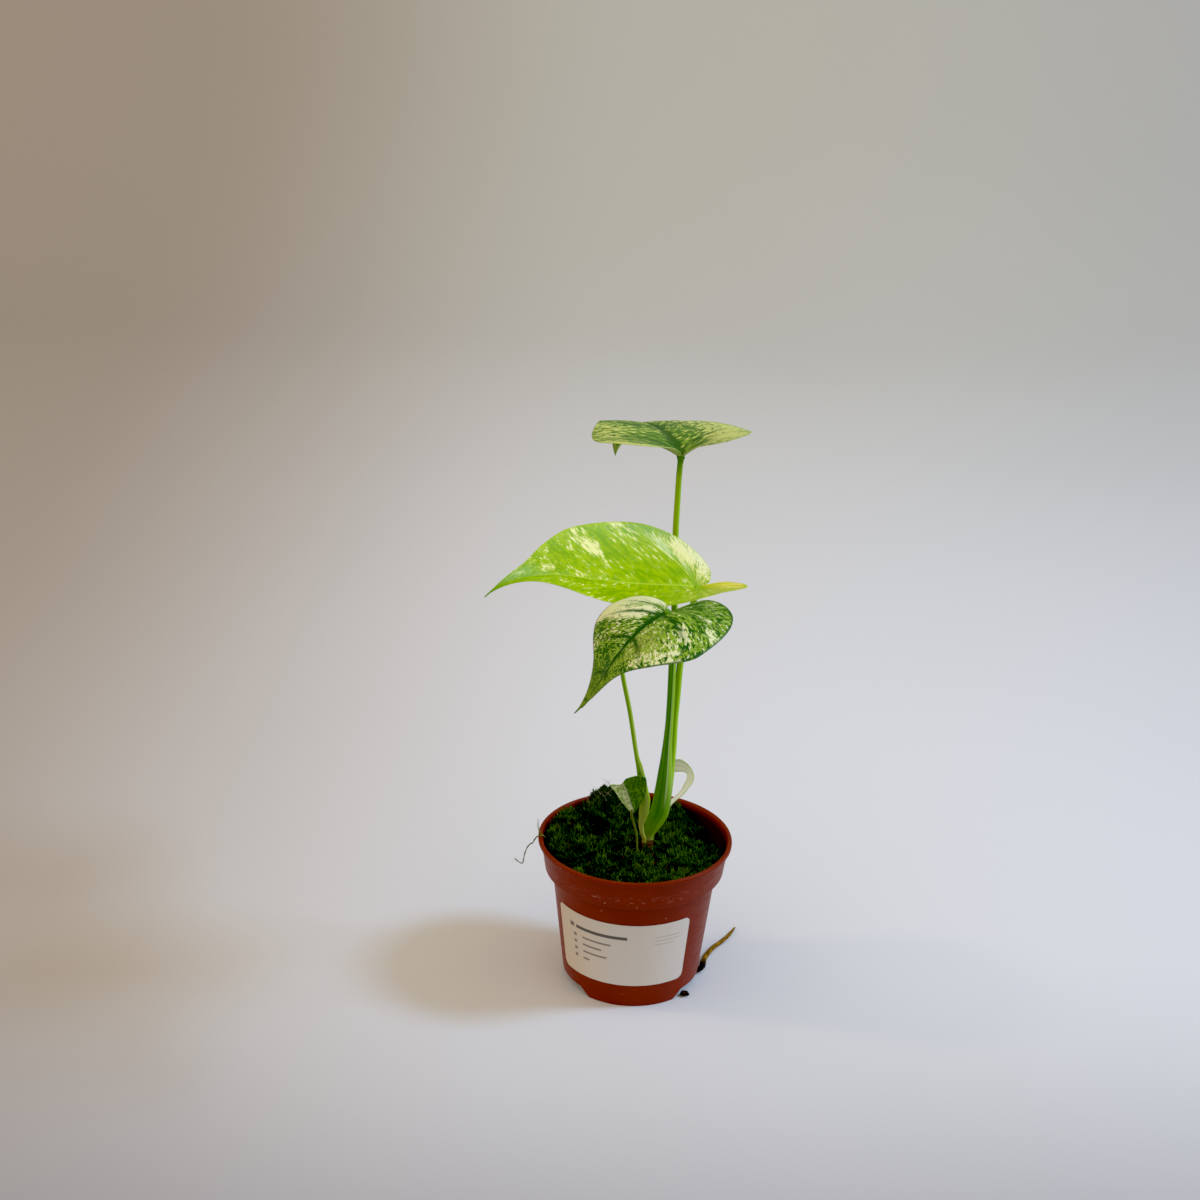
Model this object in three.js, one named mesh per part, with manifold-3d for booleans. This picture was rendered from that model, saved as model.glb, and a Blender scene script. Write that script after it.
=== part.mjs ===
// Potted mint monstera: a young plant with three leaves in a 9 cm nursery pot.
// Millimetres, +Z up. The origin is the centre of the pot's flat underside. The front of the pot is -Y.
// Angles are in degrees, and an azimuth on the pot runs from the front (-Y) towards +X.

import * as THREE from 'three';
import { mergeVertices } from 'three/addons/utils/BufferGeometryUtils.js';
import Module from 'manifold-3d';

const wasm = await Module();
wasm.setup();

// Clearances
const GAP = 0.3;              // between pieces that rest on each other
const HOLE_GAP = 0.35;        // round a stalk in its hole or groove

// Pot
const POT_HEIGHT = 72.4;
const BASE_RADIUS = 31.5;     // outside, at the ground
const WALL_SLOPE = 0.118;     // growth of the outside radius with height
const WALL = 1.1;             // thickness of wall and collar
const PLATE = 1.2;            // thickness of the base plate
const COLLAR_Z = 57;          // lower edge of the collar
const COLLAR_RADIUS = 41.5;   // outside, at its lower edge
const COLLAR_SLOPE = 0.15;
const LIP_Z = 70.4;           // lower edge of the lip
const LIP_RADIUS = 45;
const LIP_WIDTH = 1.9;        // of its flat top
const POT_SIDES = 60;
const NOTCH_AZIMUTHS = [69, 180, -69];
const NOTCH_ANGLES = [66, 44]; // width of each drain notch 1 mm below the ground, and at its top
const NOTCH_HEIGHT = 4.5;
const NOTCH_INNER = 26.5;     // radius where the notch starts in the base plate

// Label
const LABEL_AZIMUTHS = [-65.5, 44.5];
const LABEL_HEIGHTS = [12.1, 46.2];
const LABEL_CORNER = 3;
const LABEL_THICKNESS = 0.3;
const LABEL_GAP = 0.12;

// Potting mix and moss
const MIX_TOP = COLLAR_Z + WALL;
const MOSS_BOTTOM = MIX_TOP + GAP;
const MOSS_LEVEL = 66.2;
const MOSS_RINGS = 15;
const MOSS_SIDES = 54;
const MOSS_HUMP = { x: -14.5, y: 32, height: 13, spread: 5.6 };
const MOSS_DIP = { x: 40, y: 16, depth: 6.5, spread: 15 };
const MOSS_LEAST = 1.6;       // thickness of the moss where it is lowest

// Rootstock: section centre, half width in x and half depth in y of its top
const STEM = { x: 5.9, y: 1.2, halfWidth: 2.7, halfDepth: 3.8, top: 70, foot: 44 };
const FEEDER_ROOTS = 4;
const SEAT_Z = STEM.top + GAP;

// Blades
const BLADE_THICKNESS = 0.7;
const BLADE_LINES = 28;       // lines from the midrib to the margin, in each half
const BLADE_STEPS = [0, 0.12, 0.32, 0.55, 0.78, 1];
const VEIN_LEAN = 0.22;       // how far behind its margin point a line leaves the midrib, per half width
const VEIN_SWEEP = 1.4;       // how a line bends forward on its way out: 1 is straight
const KNEE = 2.2;             // length of the stub under each blade
const KNEE_RADIUS = 1.35;
const MIDRIB_RADIUS = 1.1;

// Each blade lies along its own x axis from the junction to the tip, and x is counted in lengths. halfWidth, lobe,
// taper, fold, foldGain and curl hold the value of the left half (+y) and then of the right half. bend, swing and
// twist turn the midrib down, sideways and about itself along its length. The outline is x in lengths and y in
// half widths, from the junction round one half to the tip.
const BLADES = {
  blade_top: {
    junction: [14.8, 33.5, 247.8], heading: 102.5, pitch: -12.4, roll: -1.3, length: 90.6,
    halfWidth: [35.7, 35.7], lobe: [0.897, 1.484], taper: [0.07, -0.05],
    bend: { linear: -15.8, square: 11.5, fourth: 82.6, lobes: 4.4 }, swing: { linear: 14.5, square: 8.4 }, twist: 4.9,
    fold: [10.5, 9.6], foldGain: [-1.3, -8.8], curl: [-20.4, -14.3], funnel: { depth: 9, radius: 12.7 },
    wave: { height: 0.6, count: 3.2, phase: 0.4 },
    outline: [[0, 0], [-0.08, 0.06], [-0.16, 0.26], [-0.185, 0.52], [-0.1, 0.8], [0.08, 0.99], [0.25, 1],
      [0.47, 0.81], [0.68, 0.51], [0.83, 0.25], [0.92, 0.09], [1, 0]],
    stalk: 'petiole_top', colour: 0x5f8f3a, roughness: 0.5,
  },
  blade_middle: {
    junction: [23.4, 0, 198.3], heading: 204.5, pitch: 2.8, roll: -11.6, length: 108.5,
    halfWidth: [31.7, 33.5], lobe: [1.145, 0.563], taper: [0.58, 0],
    bend: { linear: -39.9, square: -1.1, fourth: 81.5, lobes: -0.6 }, swing: { linear: 1.7, square: 7.3 }, twist: -20.8,
    fold: [9, 5.4], foldGain: [-17.3, -8.8], curl: [35.6, 29.4], funnel: { depth: 3.4, radius: 5.9 },
    wave: { height: 0.5, count: 2.6, phase: 1.1 },
    outline: [[0, 0], [-0.1, 0.04], [-0.155, 0.24], [-0.125, 0.5], [-0.005, 0.78], [0.14, 0.99], [0.31, 1],
      [0.53, 0.8], [0.68, 0.49], [0.79, 0.22], [0.92, 0.05], [1, 0]],
    stalk: 'petiole_middle', colour: 0x8dc400, roughness: 0.35,
  },
  blade_lower: {
    junction: [9.3, -63, 213.1], heading: 228.7, pitch: -1.4, roll: 2.5, length: 62.1,
    halfWidth: [32.2, 31.8], lobe: [1.432, 0.466], taper: [0.47, 0.13],
    bend: { linear: 94.4, square: -6.5, fourth: -54.9, lobes: -9.3 }, swing: { linear: -24.6, square: -5.4 }, twist: 3.1,
    fold: [14.1, 7.3], foldGain: [-4.7, -6.9], curl: [-41.7, -32], funnel: { depth: 2, radius: 9 },
    wave: { height: 0.5, count: 2.8, phase: 2 },
    outline: [[0, 0], [-0.05, 0.05], [-0.17, 0.2], [-0.18, 0.51], [-0.12, 0.82], [0.03, 0.99], [0.28, 1],
      [0.47, 0.83], [0.63, 0.5], [0.8, 0.22], [0.92, 0.06], [1, 0]],
    stalk: 'petiole_lower', colour: 0x3c6e22, roughness: 0.45,
  },
};

// Petioles: the points that each stalk passes, from its seat up, with half width in x and half depth in y. The
// last point is the end under the blade, worked out from the blade's junction.
const PETIOLES = {
  petiole_top: {
    path: [[6.4, 1.7, SEAT_Z], [6.45, 1.75, 72.2], [6.9, 2, 74.4], [8.2, 2.6, 77.6], [9.8, 3.2, 81.1], [11.2, 3.8, 84.8],
      [12.3, 4.9, 93.5], [12.9, 6.2, 102.8], [13.2, 7.4, 110], [13.5, 8.4, 117.2], [13.9, 9.6, 126],
      [14.2, 11.2, 137.5], [14.3, 13.9, 154], [14.4, 19.6, 179.9], [13.7, 26.5, 212.4], [14, 29.6, 228.6],
      [14.2, 31, 237.7]],
    width: [2.2, 2.4, 2.9, 3.9, 4.4, 4.4, 4, 3.3, 2.6, 2.1, 1.8, 1.75, 1.7, 1.45, 1.4, 1.35, 1.3, 1.3],
    depth: [1.8, 1.9, 2.2, 2.5, 2.6, 2.6, 2.5, 2.3, 2.1, 1.9, 1.75, 1.7, 1.7, 1.45, 1.4, 1.35, 1.3, 1.3],
    steps: 34, sides: 10, colour: 0x3f7a10,
  },
  petiole_middle: {
    path: [[14.1, 5.4, 82], [15, 6.6, 91.5], [15.6, 8.2, 100.9], [16.3, 11.6, 115.5], [16.5, 13.4, 126],
      [17.2, 14.6, 139], [17.9, 15.2, 154], [19.1, 12, 166.9], [20.7, 7.4, 179.6], [22.4, 3.2, 191]],
    width: [1.5, 1.5, 1.55, 1.55, 1.55, 1.55, 1.55, 1.5, 1.45, 1.35, 1.3],
    depth: [1.5, 1.5, 1.55, 1.55, 1.55, 1.55, 1.55, 1.5, 1.45, 1.35, 1.3],
    steps: 24, sides: 8, colour: 0x7cae12,
  },
  petiole_lower: {
    path: [[4.2, -1.4, SEAT_Z], [4.15, -1.45, 72.2], [3.1, -2.1, 75.6], [2.6, -2.8, 80.2], [3.5, -4.4, 87.3], [3.8, -7, 95.1],
      [2.9, -10, 101.8], [1.5, -14, 110.6], [0.2, -18, 118.6], [-1.3, -21.5, 126.1], [-4.9, -29, 150.2],
      [-8.9, -38, 173.2], [-9.6, -44, 187], [-6.4, -51, 199.5], [0.6, -58, 208.2]],
    width: [1, 1, 1, 1.2, 2.2, 2.4, 2.1, 1.8, 1.4, 1, 1, 1, 1, 1, 1, 1.1],
    depth: [1, 1, 1, 1, 1.1, 1.2, 1.2, 1.1, 1, 1, 1, 1, 1, 1, 1, 1.1],
    steps: 30, sides: 8, colour: 0x6ca000,
  },
};

// Folded bract: its outline, then the thread that carries it
const BRACT_THICKNESS = 0.6;
const BRACT_OUTLINE = [[-12.4, -16.9, 107.4], [-7.8, -17.1, 108], [-5.5, -18.7, 111.6], [-2.4, -19.3, 113.2],
  [0.4, -19.5, 113.9], [3.1, -19.4, 113.2], [3.9, -17.8, 109.6], [3.8, -15.9, 103.6], [2.1, -13.6, 97.4],
  [0.3, -11.8, 93.3], [-2, -10.4, 90.2], [-5.9, -12.2, 95.2], [-9.7, -14.8, 102.3]];
const BRACT_CUP = 2.6;        // how far its middle is pushed back
const BRACT_THREAD = [[-2, -10.9, 92], [-2.2, -10, 88.6], [-0.9, -7.4, 83], [0.6, -5.4, 75.7], [1, -4.6, 69], [1, -4.5, 62]];
const BRACT_THREAD_RADIUS = 0.55;

// Curled bract: a ribbon ruled between its two long edges, from its seat on the rootstock
const CURL_EDGES = [
  [[8.2, 4.2, SEAT_Z + 0.3], [9.6, 5.4, 73.6], [13.6, 7.8, 79.6], [16.4, 9.5, 84], [19.5, 10.5, 87], [22.3, 11, 89.6],
    [25, 12, 93.2], [26.6, 12.5, 96.2], [26.2, 13, 99.9], [23.9, 13.5, 103.6], [20.6, 14, 105.8],
    [17.4, 14.8, 105.4], [14.3, 15.6, 103.3]],
  [[7, 4.9, SEAT_Z + 0.3], [8.4, 6.6, 74.2], [12.6, 9.3, 80.8], [15.6, 11, 85.4], [18.1, 11.8, 87.8], [20.5, 12.3, 90.3],
    [21.8, 13, 92.8], [23.3, 14, 96.1], [23, 14.8, 98.3], [20.9, 15.3, 98.8], [17.4, 15.9, 98.2],
    [14.6, 16.4, 97.2], [12.6, 16.8, 96.6]]];
const CURL_STEPS = 24;

// Root that leaves the mix at the right drain notch and lies on the ground, and its radius at each point
const OUTER_ROOT = [[6.2, 1, 50], [11, -0.6, 38], [18, -2.6, 20], [23.5, -3.4, 7.5], [27.6, -2.8, 3], [30.9, -1.6, 2.1],
  [33.4, 0.5, 1.9], [34.6, 4.6, 1.8], [35.9, 11.5, 1.4], [40, 20.8, 1.3], [45, 28, 1.2], [48.5, 34.5, 1], [51.4, 41.3, 0.8]];
const OUTER_ROOT_RADII = [1.2, 1.1, 1, 1, 1, 1.05, 1.15, 1.4, 1.15, 1.1, 1, 0.85, 0.4];

// Moss strand over the left of the rim, and the crumb of mix at the right drain notch
const STRAND = [[-41.7, -3.2, 71.7], [-42.5, -3.3, 73], [-44, -3.5, 73.2], [-45.3, -3.6, 72.7], [-46.4, -3.7, 71.4],
  [-47.4, -3.6, 69.4], [-48.8, -3.5, 68.4], [-50.1, -3.5, 66.3], [-51.1, -3.5, 63.2], [-51.6, -3.5, 60.1],
  [-52.1, -3.5, 58.3], [-53.6, -3.5, 58.9], [-55.7, -3.5, 60.7]];
const STRAND_RADIUS = 0.4;
const CRUMB = { x: 25.3, y: -20.9, halfWidth: 2.7, halfDepth: 2.1, height: 3 };

const DEG = Math.PI / 180;
const vector = ([x, y, z]) => new THREE.Vector3(x, y, z);
const wallRadius = (z) => BASE_RADIUS + WALL_SLOPE * z;
const collarRadius = (z) => COLLAR_RADIUS + COLLAR_SLOPE * (z - COLLAR_Z);

// A smooth curve through the points, even in its parameter from one point to the next
function curveThrough(points) {
  return new THREE.CatmullRomCurve3(points.map(vector), false, 'catmullrom', 0.5);
}

// The value at t, from 0 to 1, of a list of evenly spaced values joined by straight lines
function valueAt(values, t) {
  const place = Math.min(t, 1) * (values.length - 1);
  const k = Math.min(Math.floor(place), values.length - 2);
  return THREE.MathUtils.lerp(values[k], values[k + 1], place - k);
}

function geometryFrom(positions, index) {
  const geometry = new THREE.BufferGeometry();
  geometry.setAttribute('position', new THREE.Float32BufferAttribute(positions, 3));
  geometry.setIndex(index);
  return geometry;
}

// A copy with vertices closer than reach merged, and the triangles that have shrunk to a line left out
function merged(geometry, reach = 1e-3) {
  const bare = geometry.clone();
  bare.deleteAttribute('normal');
  bare.deleteAttribute('uv');
  const whole = mergeVertices(bare, reach);
  const index = [];
  for (let k = 0; k < whole.index.count; k += 3) {
    const [a, b, c] = [0, 1, 2].map((j) => whole.index.getX(k + j));
    if (a !== b && b !== c && c !== a) index.push(a, b, c);
  }
  whole.setIndex(index);
  return whole;
}

function solidOf(geometry) {
  const whole = merged(geometry);
  const vertProperties = Float32Array.from(whole.attributes.position.array);
  const triVerts = Uint32Array.from(whole.index.array);
  return new wasm.Manifold(new wasm.Mesh({ numProp: 3, vertProperties, triVerts }));
}

function geometryOf(solid) {
  const mesh = solid.getMesh();
  return merged(geometryFrom(Array.from(mesh.vertProperties), Array.from(mesh.triVerts)), 5e-3);
}

// A closed tube along a curve. Its section at t is an ellipse with half axes width(t) along side and depth(t) across
// it, and both ends are flat. grow widens it and lengthens it at each end.
function tube(curve, { width, depth = width, steps, sides, side = [1, 0, 0], grow = 0 }) {
  const reference = vector(side);
  const positions = [];
  const index = [];
  for (let k = 0; k <= steps; k++) {
    const t = k / steps;
    const centre = curve.getPoint(t);
    const along = curve.getTangent(t);
    if (k === 0) centre.addScaledVector(along, -grow);
    if (k === steps) centre.addScaledVector(along, grow);
    const across = reference.clone().addScaledVector(along, -reference.dot(along)).normalize();
    const third = new THREE.Vector3().crossVectors(along, across);
    for (let j = 0; j < sides; j++) {
      const turn = 2 * Math.PI * j / sides;
      const p = centre.clone()
        .addScaledVector(across, (width(t) + grow) * Math.cos(turn))
        .addScaledVector(third, (depth(t) + grow) * Math.sin(turn));
      positions.push(p.x, p.y, p.z);
    }
    if (k === 0 || k === steps) positions.push(centre.x, centre.y, centre.z);
  }
  // the first ring is followed by its centre, and so is the last
  const ring = (k) => (k === 0 ? 0 : 1) + k * sides;
  for (let k = 0; k < steps; k++) {
    for (let j = 0; j < sides; j++) {
      const next = (j + 1) % sides;
      index.push(ring(k) + j, ring(k) + next, ring(k + 1) + j, ring(k) + next, ring(k + 1) + next, ring(k + 1) + j);
    }
  }
  for (let j = 0; j < sides; j++) {
    const next = (j + 1) % sides;
    index.push(sides, next, j, ring(steps) + sides, ring(steps) + j, ring(steps) + next);
  }
  return geometryFrom(positions, index);
}

// A closed solid that holds an open surface in its middle: both faces have the surface's own triangles
function thicken(surface, thickness) {
  const sheet = merged(surface);
  sheet.computeVertexNormals();
  const { position, normal } = sheet.attributes;
  const count = position.count;
  const positions = [];
  for (const sign of [1, -1]) {
    for (let k = 0; k < count; k++) {
      const p = new THREE.Vector3().fromBufferAttribute(position, k);
      const n = new THREE.Vector3().fromBufferAttribute(normal, k).normalize();
      p.addScaledVector(n, sign * thickness / 2);
      positions.push(p.x, p.y, p.z);
    }
  }
  const index = [];
  const edges = new Map();
  for (let k = 0; k < sheet.index.count; k += 3) {
    const corners = [0, 1, 2].map((j) => sheet.index.getX(k + j));
    index.push(...corners, count + corners[0], count + corners[2], count + corners[1]);
    corners.forEach((a, j) => edges.set(`${a} ${corners[(j + 1) % 3]}`, [a, corners[(j + 1) % 3]]));
  }
  for (const [a, b] of edges.values()) {
    if (edges.has(`${b} ${a}`)) continue;
    index.push(b, a, count + a, b, count + a, count + b);
  }
  return geometryFrom(positions, index);
}

// A grid of points as a surface, point(i, j) with i from 0 to columns and j from 0 to rows
function gridSurface(columns, rows, point) {
  const positions = [];
  const index = [];
  for (let i = 0; i <= columns; i++) {
    for (let j = 0; j <= rows; j++) positions.push(...point(i, j).toArray());
  }
  for (let i = 0; i < columns; i++) {
    for (let j = 0; j < rows; j++) {
      const a = i * (rows + 1) + j;
      const b = a + rows + 1;
      index.push(a, b, b + 1, a, b + 1, a + 1);
    }
  }
  return { positions, index };
}

function potGeometry() {
  const profile = [
    [0, 0], [BASE_RADIUS - 0.3, 0], [wallRadius(0.3), 0.3], [wallRadius(COLLAR_Z), COLLAR_Z],
    [COLLAR_RADIUS - 0.4, COLLAR_Z], [collarRadius(COLLAR_Z + 0.5), COLLAR_Z + 0.5],
    [collarRadius(LIP_Z - 0.3), LIP_Z - 0.3], [LIP_RADIUS - 0.5, LIP_Z], [LIP_RADIUS, LIP_Z + 0.6],
    [LIP_RADIUS, POT_HEIGHT - 0.6], [LIP_RADIUS - 0.5, POT_HEIGHT], [LIP_RADIUS - LIP_WIDTH, POT_HEIGHT],
    [collarRadius(LIP_Z) - WALL, LIP_Z], [collarRadius(MIX_TOP) - WALL, MIX_TOP],
    [wallRadius(MIX_TOP) - WALL, MIX_TOP], [wallRadius(PLATE + 1) - WALL, PLATE + 1],
    [wallRadius(PLATE) - WALL - 1, PLATE], [0, PLATE],
  ].map(([r, z]) => new THREE.Vector2(r, z));
  let pot = solidOf(new THREE.LatheGeometry(profile, POT_SIDES).rotateX(Math.PI / 2));
  for (const azimuth of NOTCH_AZIMUTHS) pot = pot.subtract(solidOf(notchGeometry(azimuth)));
  return geometryOf(pot);
}

// The wedge that a drain notch takes out of the foot of the wall, wider at the ground than at its top
function notchGeometry(azimuth) {
  const corner = (angle, r) => new THREE.Vector2(r * Math.sin(angle * DEG), -r * Math.cos(angle * DEG));
  const outer = BASE_RADIUS + 6;
  const levels = [[-1, NOTCH_ANGLES[0] / 2], [NOTCH_HEIGHT, NOTCH_ANGLES[1] / 2]];
  const turns = 6;
  const ring = ([z, spread]) => {
    const points = [];
    for (let k = 0; k <= turns; k++) points.push([corner(azimuth - spread + 2 * spread * k / turns, outer), z]);
    for (let k = turns; k >= 0; k--) points.push([corner(azimuth - spread + 2 * spread * k / turns, NOTCH_INNER), z]);
    return points.map(([p, height]) => [p.x, p.y, height]);
  };
  const [low, high] = levels.map(ring);
  const count = low.length;
  const index = [];
  for (let k = 0; k < count; k++) {
    const next = (k + 1) % count;
    index.push(k, next, count + k, next, count + next, count + k);
  }
  // the caps are strips between the outer and the inner arc
  for (let k = 0; k < turns; k++) {
    const [a, b, c, d] = [k, k + 1, count - 2 - k, count - 1 - k];
    index.push(a, c, b, a, d, c, count + a, count + b, count + c, count + a, count + c, count + d);
  }
  return geometryFrom([...low, ...high].flat(), index);
}

function labelGeometry() {
  const [west, east] = LABEL_AZIMUTHS;
  const [low, high] = LABEL_HEIGHTS;
  const columns = 36;
  const rows = 1;
  const middle = wallRadius((low + high) / 2);
  const inset = LABEL_GAP + LABEL_THICKNESS / 2;
  const { positions, index } = gridSurface(columns, rows, (i, j) => {
    const azimuth = west + (east - west) * i / columns;
    // rounded corners: near the two short sides the long sides draw in along a quarter circle
    const side = Math.min(azimuth - west, east - azimuth) * DEG * middle;
    const reach = Math.max(0, LABEL_CORNER - side);
    const cut = LABEL_CORNER - Math.sqrt(LABEL_CORNER ** 2 - reach ** 2);
    const z = j === 0 ? low + cut : high - cut;
    const r = wallRadius(z) + inset;
    return new THREE.Vector3(r * Math.sin(azimuth * DEG), -r * Math.cos(azimuth * DEG), z);
  });
  return thicken(geometryFrom(positions, index), LABEL_THICKNESS);
}

function mixGeometry(holes) {
  const low = PLATE + GAP;
  const radius = (z) => wallRadius(z) - WALL - GAP;
  const profile = [[0, low], [radius(low) - 1, low], [radius(low + 1), low + 1], [radius(MIX_TOP), MIX_TOP], [0, MIX_TOP]]
    .map(([r, z]) => new THREE.Vector2(r, z));
  const mix = solidOf(new THREE.LatheGeometry(profile, POT_SIDES).rotateX(Math.PI / 2));
  return geometryOf(mix.subtract(holes));
}

// Height of the moss: a level with soft tufts from three crossed waves, a hump at the back left and a dip at the right
function mossHeight(x, y) {
  const bell = ({ x: cx, y: cy, spread }) => Math.exp(-((x - cx) ** 2 + (y - cy) ** 2) / (2 * spread ** 2));
  const tufts = 1.1 * Math.sin(0.62 * x + 1.3) * Math.cos(0.55 * y - 0.4)
    + 0.8 * Math.sin(0.93 * x - 0.71 * y) + 0.6 * Math.cos(0.35 * x + 1.12 * y + 2);
  const height = MOSS_LEVEL + tufts + MOSS_HUMP.height * bell(MOSS_HUMP) - MOSS_DIP.depth * bell(MOSS_DIP);
  return Math.max(height, MOSS_BOTTOM + MOSS_LEAST);
}

function mossGeometry(holes) {
  const positions = [0, 0, mossHeight(0, 0)];
  const index = [];
  const ring = (k) => 1 + (k - 1) * MOSS_SIDES;
  const reach = (z) => collarRadius(z) - WALL - GAP - 0.1;
  for (let k = 1; k <= MOSS_RINGS; k++) {
    for (let j = 0; j < MOSS_SIDES; j++) {
      const turn = 2 * Math.PI * j / MOSS_SIDES;
      let r = reach(MOSS_LEVEL) * k / MOSS_RINGS;
      let z = mossHeight(r * Math.cos(turn), r * Math.sin(turn));
      if (k === MOSS_RINGS) {
        z -= MOSS_LEAST / 2;
        r = reach(Math.min(z, LIP_Z));
      }
      positions.push(r * Math.cos(turn), r * Math.sin(turn), z);
    }
  }
  for (let j = 0; j < MOSS_SIDES; j++) {
    const turn = 2 * Math.PI * j / MOSS_SIDES;
    positions.push(reach(MOSS_BOTTOM) * Math.cos(turn), reach(MOSS_BOTTOM) * Math.sin(turn), MOSS_BOTTOM);
  }
  positions.push(0, 0, MOSS_BOTTOM);
  const centre = ring(MOSS_RINGS + 2);
  for (let j = 0; j < MOSS_SIDES; j++) {
    const next = (j + 1) % MOSS_SIDES;
    index.push(0, ring(1) + j, ring(1) + next);
    for (let k = 1; k <= MOSS_RINGS; k++) {
      const [a, b] = [ring(k), ring(k + 1)];
      index.push(a + j, b + j, b + next, a + j, b + next, a + next);
    }
    index.push(centre, ring(MOSS_RINGS + 1) + next, ring(MOSS_RINGS + 1) + j);
  }
  return geometryOf(solidOf(geometryFrom(positions, index)).subtract(holes));
}

// The short stem, its feeder roots in the mix and the root that has grown out of the drain notch, as one solid.
// With grow it is the hole that they stand in.
function rootstockSolid(grow = 0) {
  const { x, y, halfWidth, halfDepth, top, foot } = STEM;
  const stem = curveThrough([[x, y, top], [x, y, 64], [x - 0.2, y, 56], [x - 0.2, y - 0.2, foot]]);
  let solid = solidOf(tube(stem, {
    width: (t) => valueAt([halfWidth, halfWidth, 2.5, 1.6], t), depth: (t) => valueAt([halfDepth, halfDepth, 2.8, 1.6], t),
    steps: 7, sides: 14, grow,
  }));
  for (let k = 0; k < FEEDER_ROOTS; k++) {
    const turn = (40 + 82 * k) * DEG;
    const reach = [0, 8, 16, 21 + k % 2 * 3];
    const depth = [50, 46, 36, 20 - 3 * (k % 2)];
    const root = curveThrough(reach.map((r, n) => [x - 0.2 + r * Math.cos(turn), y + r * Math.sin(turn), depth[n]]));
    solid = solid.add(solidOf(tube(root, { width: (t) => 1.1 - 0.6 * t, steps: 6, sides: 5, side: [0, 0, 1], grow })));
  }
  const outer = tube(curveThrough(OUTER_ROOT), {
    width: (t) => valueAt(OUTER_ROOT_RADII, t), steps: 34, sides: 6, side: [0, 0, 1], grow,
  });
  return solid.add(solidOf(outer));
}

// The midrib frame at s lengths from the junction, before the blade is turned to its heading: the point, and the
// directions along, to the left and up
function midrib({ length, bend, swing, twist }, s) {
  const along = (q) => {
    const ahead = Math.max(q, 0);
    const down = DEG * (bend.linear * ahead + bend.square * ahead ** 2 + bend.fourth * ahead ** 4 + bend.lobes * Math.min(q, 0));
    const turn = DEG * (swing.linear * ahead + swing.square * ahead ** 2);
    return {
      t: new THREE.Vector3(Math.cos(down) * Math.cos(turn), Math.cos(down) * Math.sin(turn), -Math.sin(down)), turn,
    };
  };
  const parts = 16;
  const point = new THREE.Vector3();
  for (let k = 0; k < parts; k++) point.addScaledVector(along(s * (k + 0.5) / parts).t, length * s / parts);
  const { t, turn } = along(s);
  const flatLeft = new THREE.Vector3(-Math.sin(turn), Math.cos(turn), 0);
  const flatUp = new THREE.Vector3().crossVectors(t, flatLeft);
  const roll = DEG * twist * s;
  const left = flatLeft.clone().multiplyScalar(Math.cos(roll)).addScaledVector(flatUp, Math.sin(roll));
  const up = new THREE.Vector3().crossVectors(t, left);
  return { point, left, up };
}

// The turn that takes a blade from its own axes to its heading, pitch and roll, and its junction to its place
function bladePlace({ junction, heading, pitch, roll }) {
  const [h, e, r] = [heading * DEG, pitch * DEG, roll * DEG];
  const t = new THREE.Vector3(Math.cos(e) * Math.cos(h), Math.cos(e) * Math.sin(h), Math.sin(e));
  const level = new THREE.Vector3(-Math.sin(h), Math.cos(h), 0);
  const upright = new THREE.Vector3().crossVectors(t, level);
  const left = level.clone().multiplyScalar(Math.cos(r)).addScaledVector(upright, Math.sin(r));
  const up = new THREE.Vector3().crossVectors(t, left);
  return new THREE.Matrix4().makeBasis(t, left, up).setPosition(...junction);
}

// A point of the blade's middle surface: x is in lengths, y in half widths, and half is 0 on the left and 1 on the
// right. Each half leaves the midrib at the angle fold and turns by the angle curl up to its margin, along an arc.
// The funnel draws the surface down round the junction, and margin is the wave's height there.
function bladePoint(blade, half, x, y, margin = 0) {
  const { length, halfWidth, fold, foldGain, curl, funnel } = blade;
  const { point, left, up } = midrib(blade, x);
  const away = y * halfWidth[half];
  const arc = DEG * curl[half] * y / 2;
  const slope = DEG * (fold[half] + foldGain[half] * Math.max(x, 0)) + arc;
  const chord = away * (Math.abs(arc) < 1e-9 ? 1 : Math.sin(arc) / arc);
  const sink = funnel.depth * Math.exp(-Math.sqrt((x * length) ** 2 + away ** 2 + 1) / funnel.radius);
  return point
    .addScaledVector(left, (half === 0 ? 1 : -1) * chord * Math.cos(slope))
    .addScaledVector(up, chord * Math.sin(slope) - sink + margin)
    .add(new THREE.Vector3(0, 0, funnel.depth * Math.exp(-1 / funnel.radius)));
}

// Both halves of the blade as one open surface. Its lines run from the midrib out and forward to the margin, and
// those of the lobes fan out from the junction.
function bladeSurface(blade, place) {
  const outline = curveThrough(blade.outline.map(([x, y]) => [x, y, 0]));
  const positions = [];
  const index = [];
  for (const half of [0, 1]) {
    const grid = gridSurface(BLADE_LINES, BLADE_STEPS.length - 1, (i, j) => {
      const u = i / BLADE_LINES;
      const v = BLADE_STEPS[j];
      const edge = outline.getPoint(u);
      const foot = Math.max(0, edge.x - VEIN_LEAN * edge.y);
      const x = edge.x < 0 ? edge.x * blade.lobe[half] : edge.x;
      const narrowing = blade.taper[half] * THREE.MathUtils.smoothstep(edge.x, 0.25, 0.75);
      const { height, count, phase } = blade.wave;
      const margin = height * v ** 3 * Math.sin(2 * Math.PI * count * u + phase + half) * Math.sin(Math.PI * u);
      const across = edge.y * (1 - narrowing) * v;
      return bladePoint(blade, half, foot + (x - foot) * v ** VEIN_SWEEP, across, margin).applyMatrix4(place);
    });
    const start = positions.length / 3;
    positions.push(...grid.positions);
    for (let k = 0; k < grid.index.length; k += 3) {
      const [a, b, c] = grid.index.slice(k, k + 3).map((n) => n + start);
      index.push(...(half === 0 ? [a, b, c] : [a, c, b]));
    }
  }
  return geometryFrom(positions, index);
}

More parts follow.
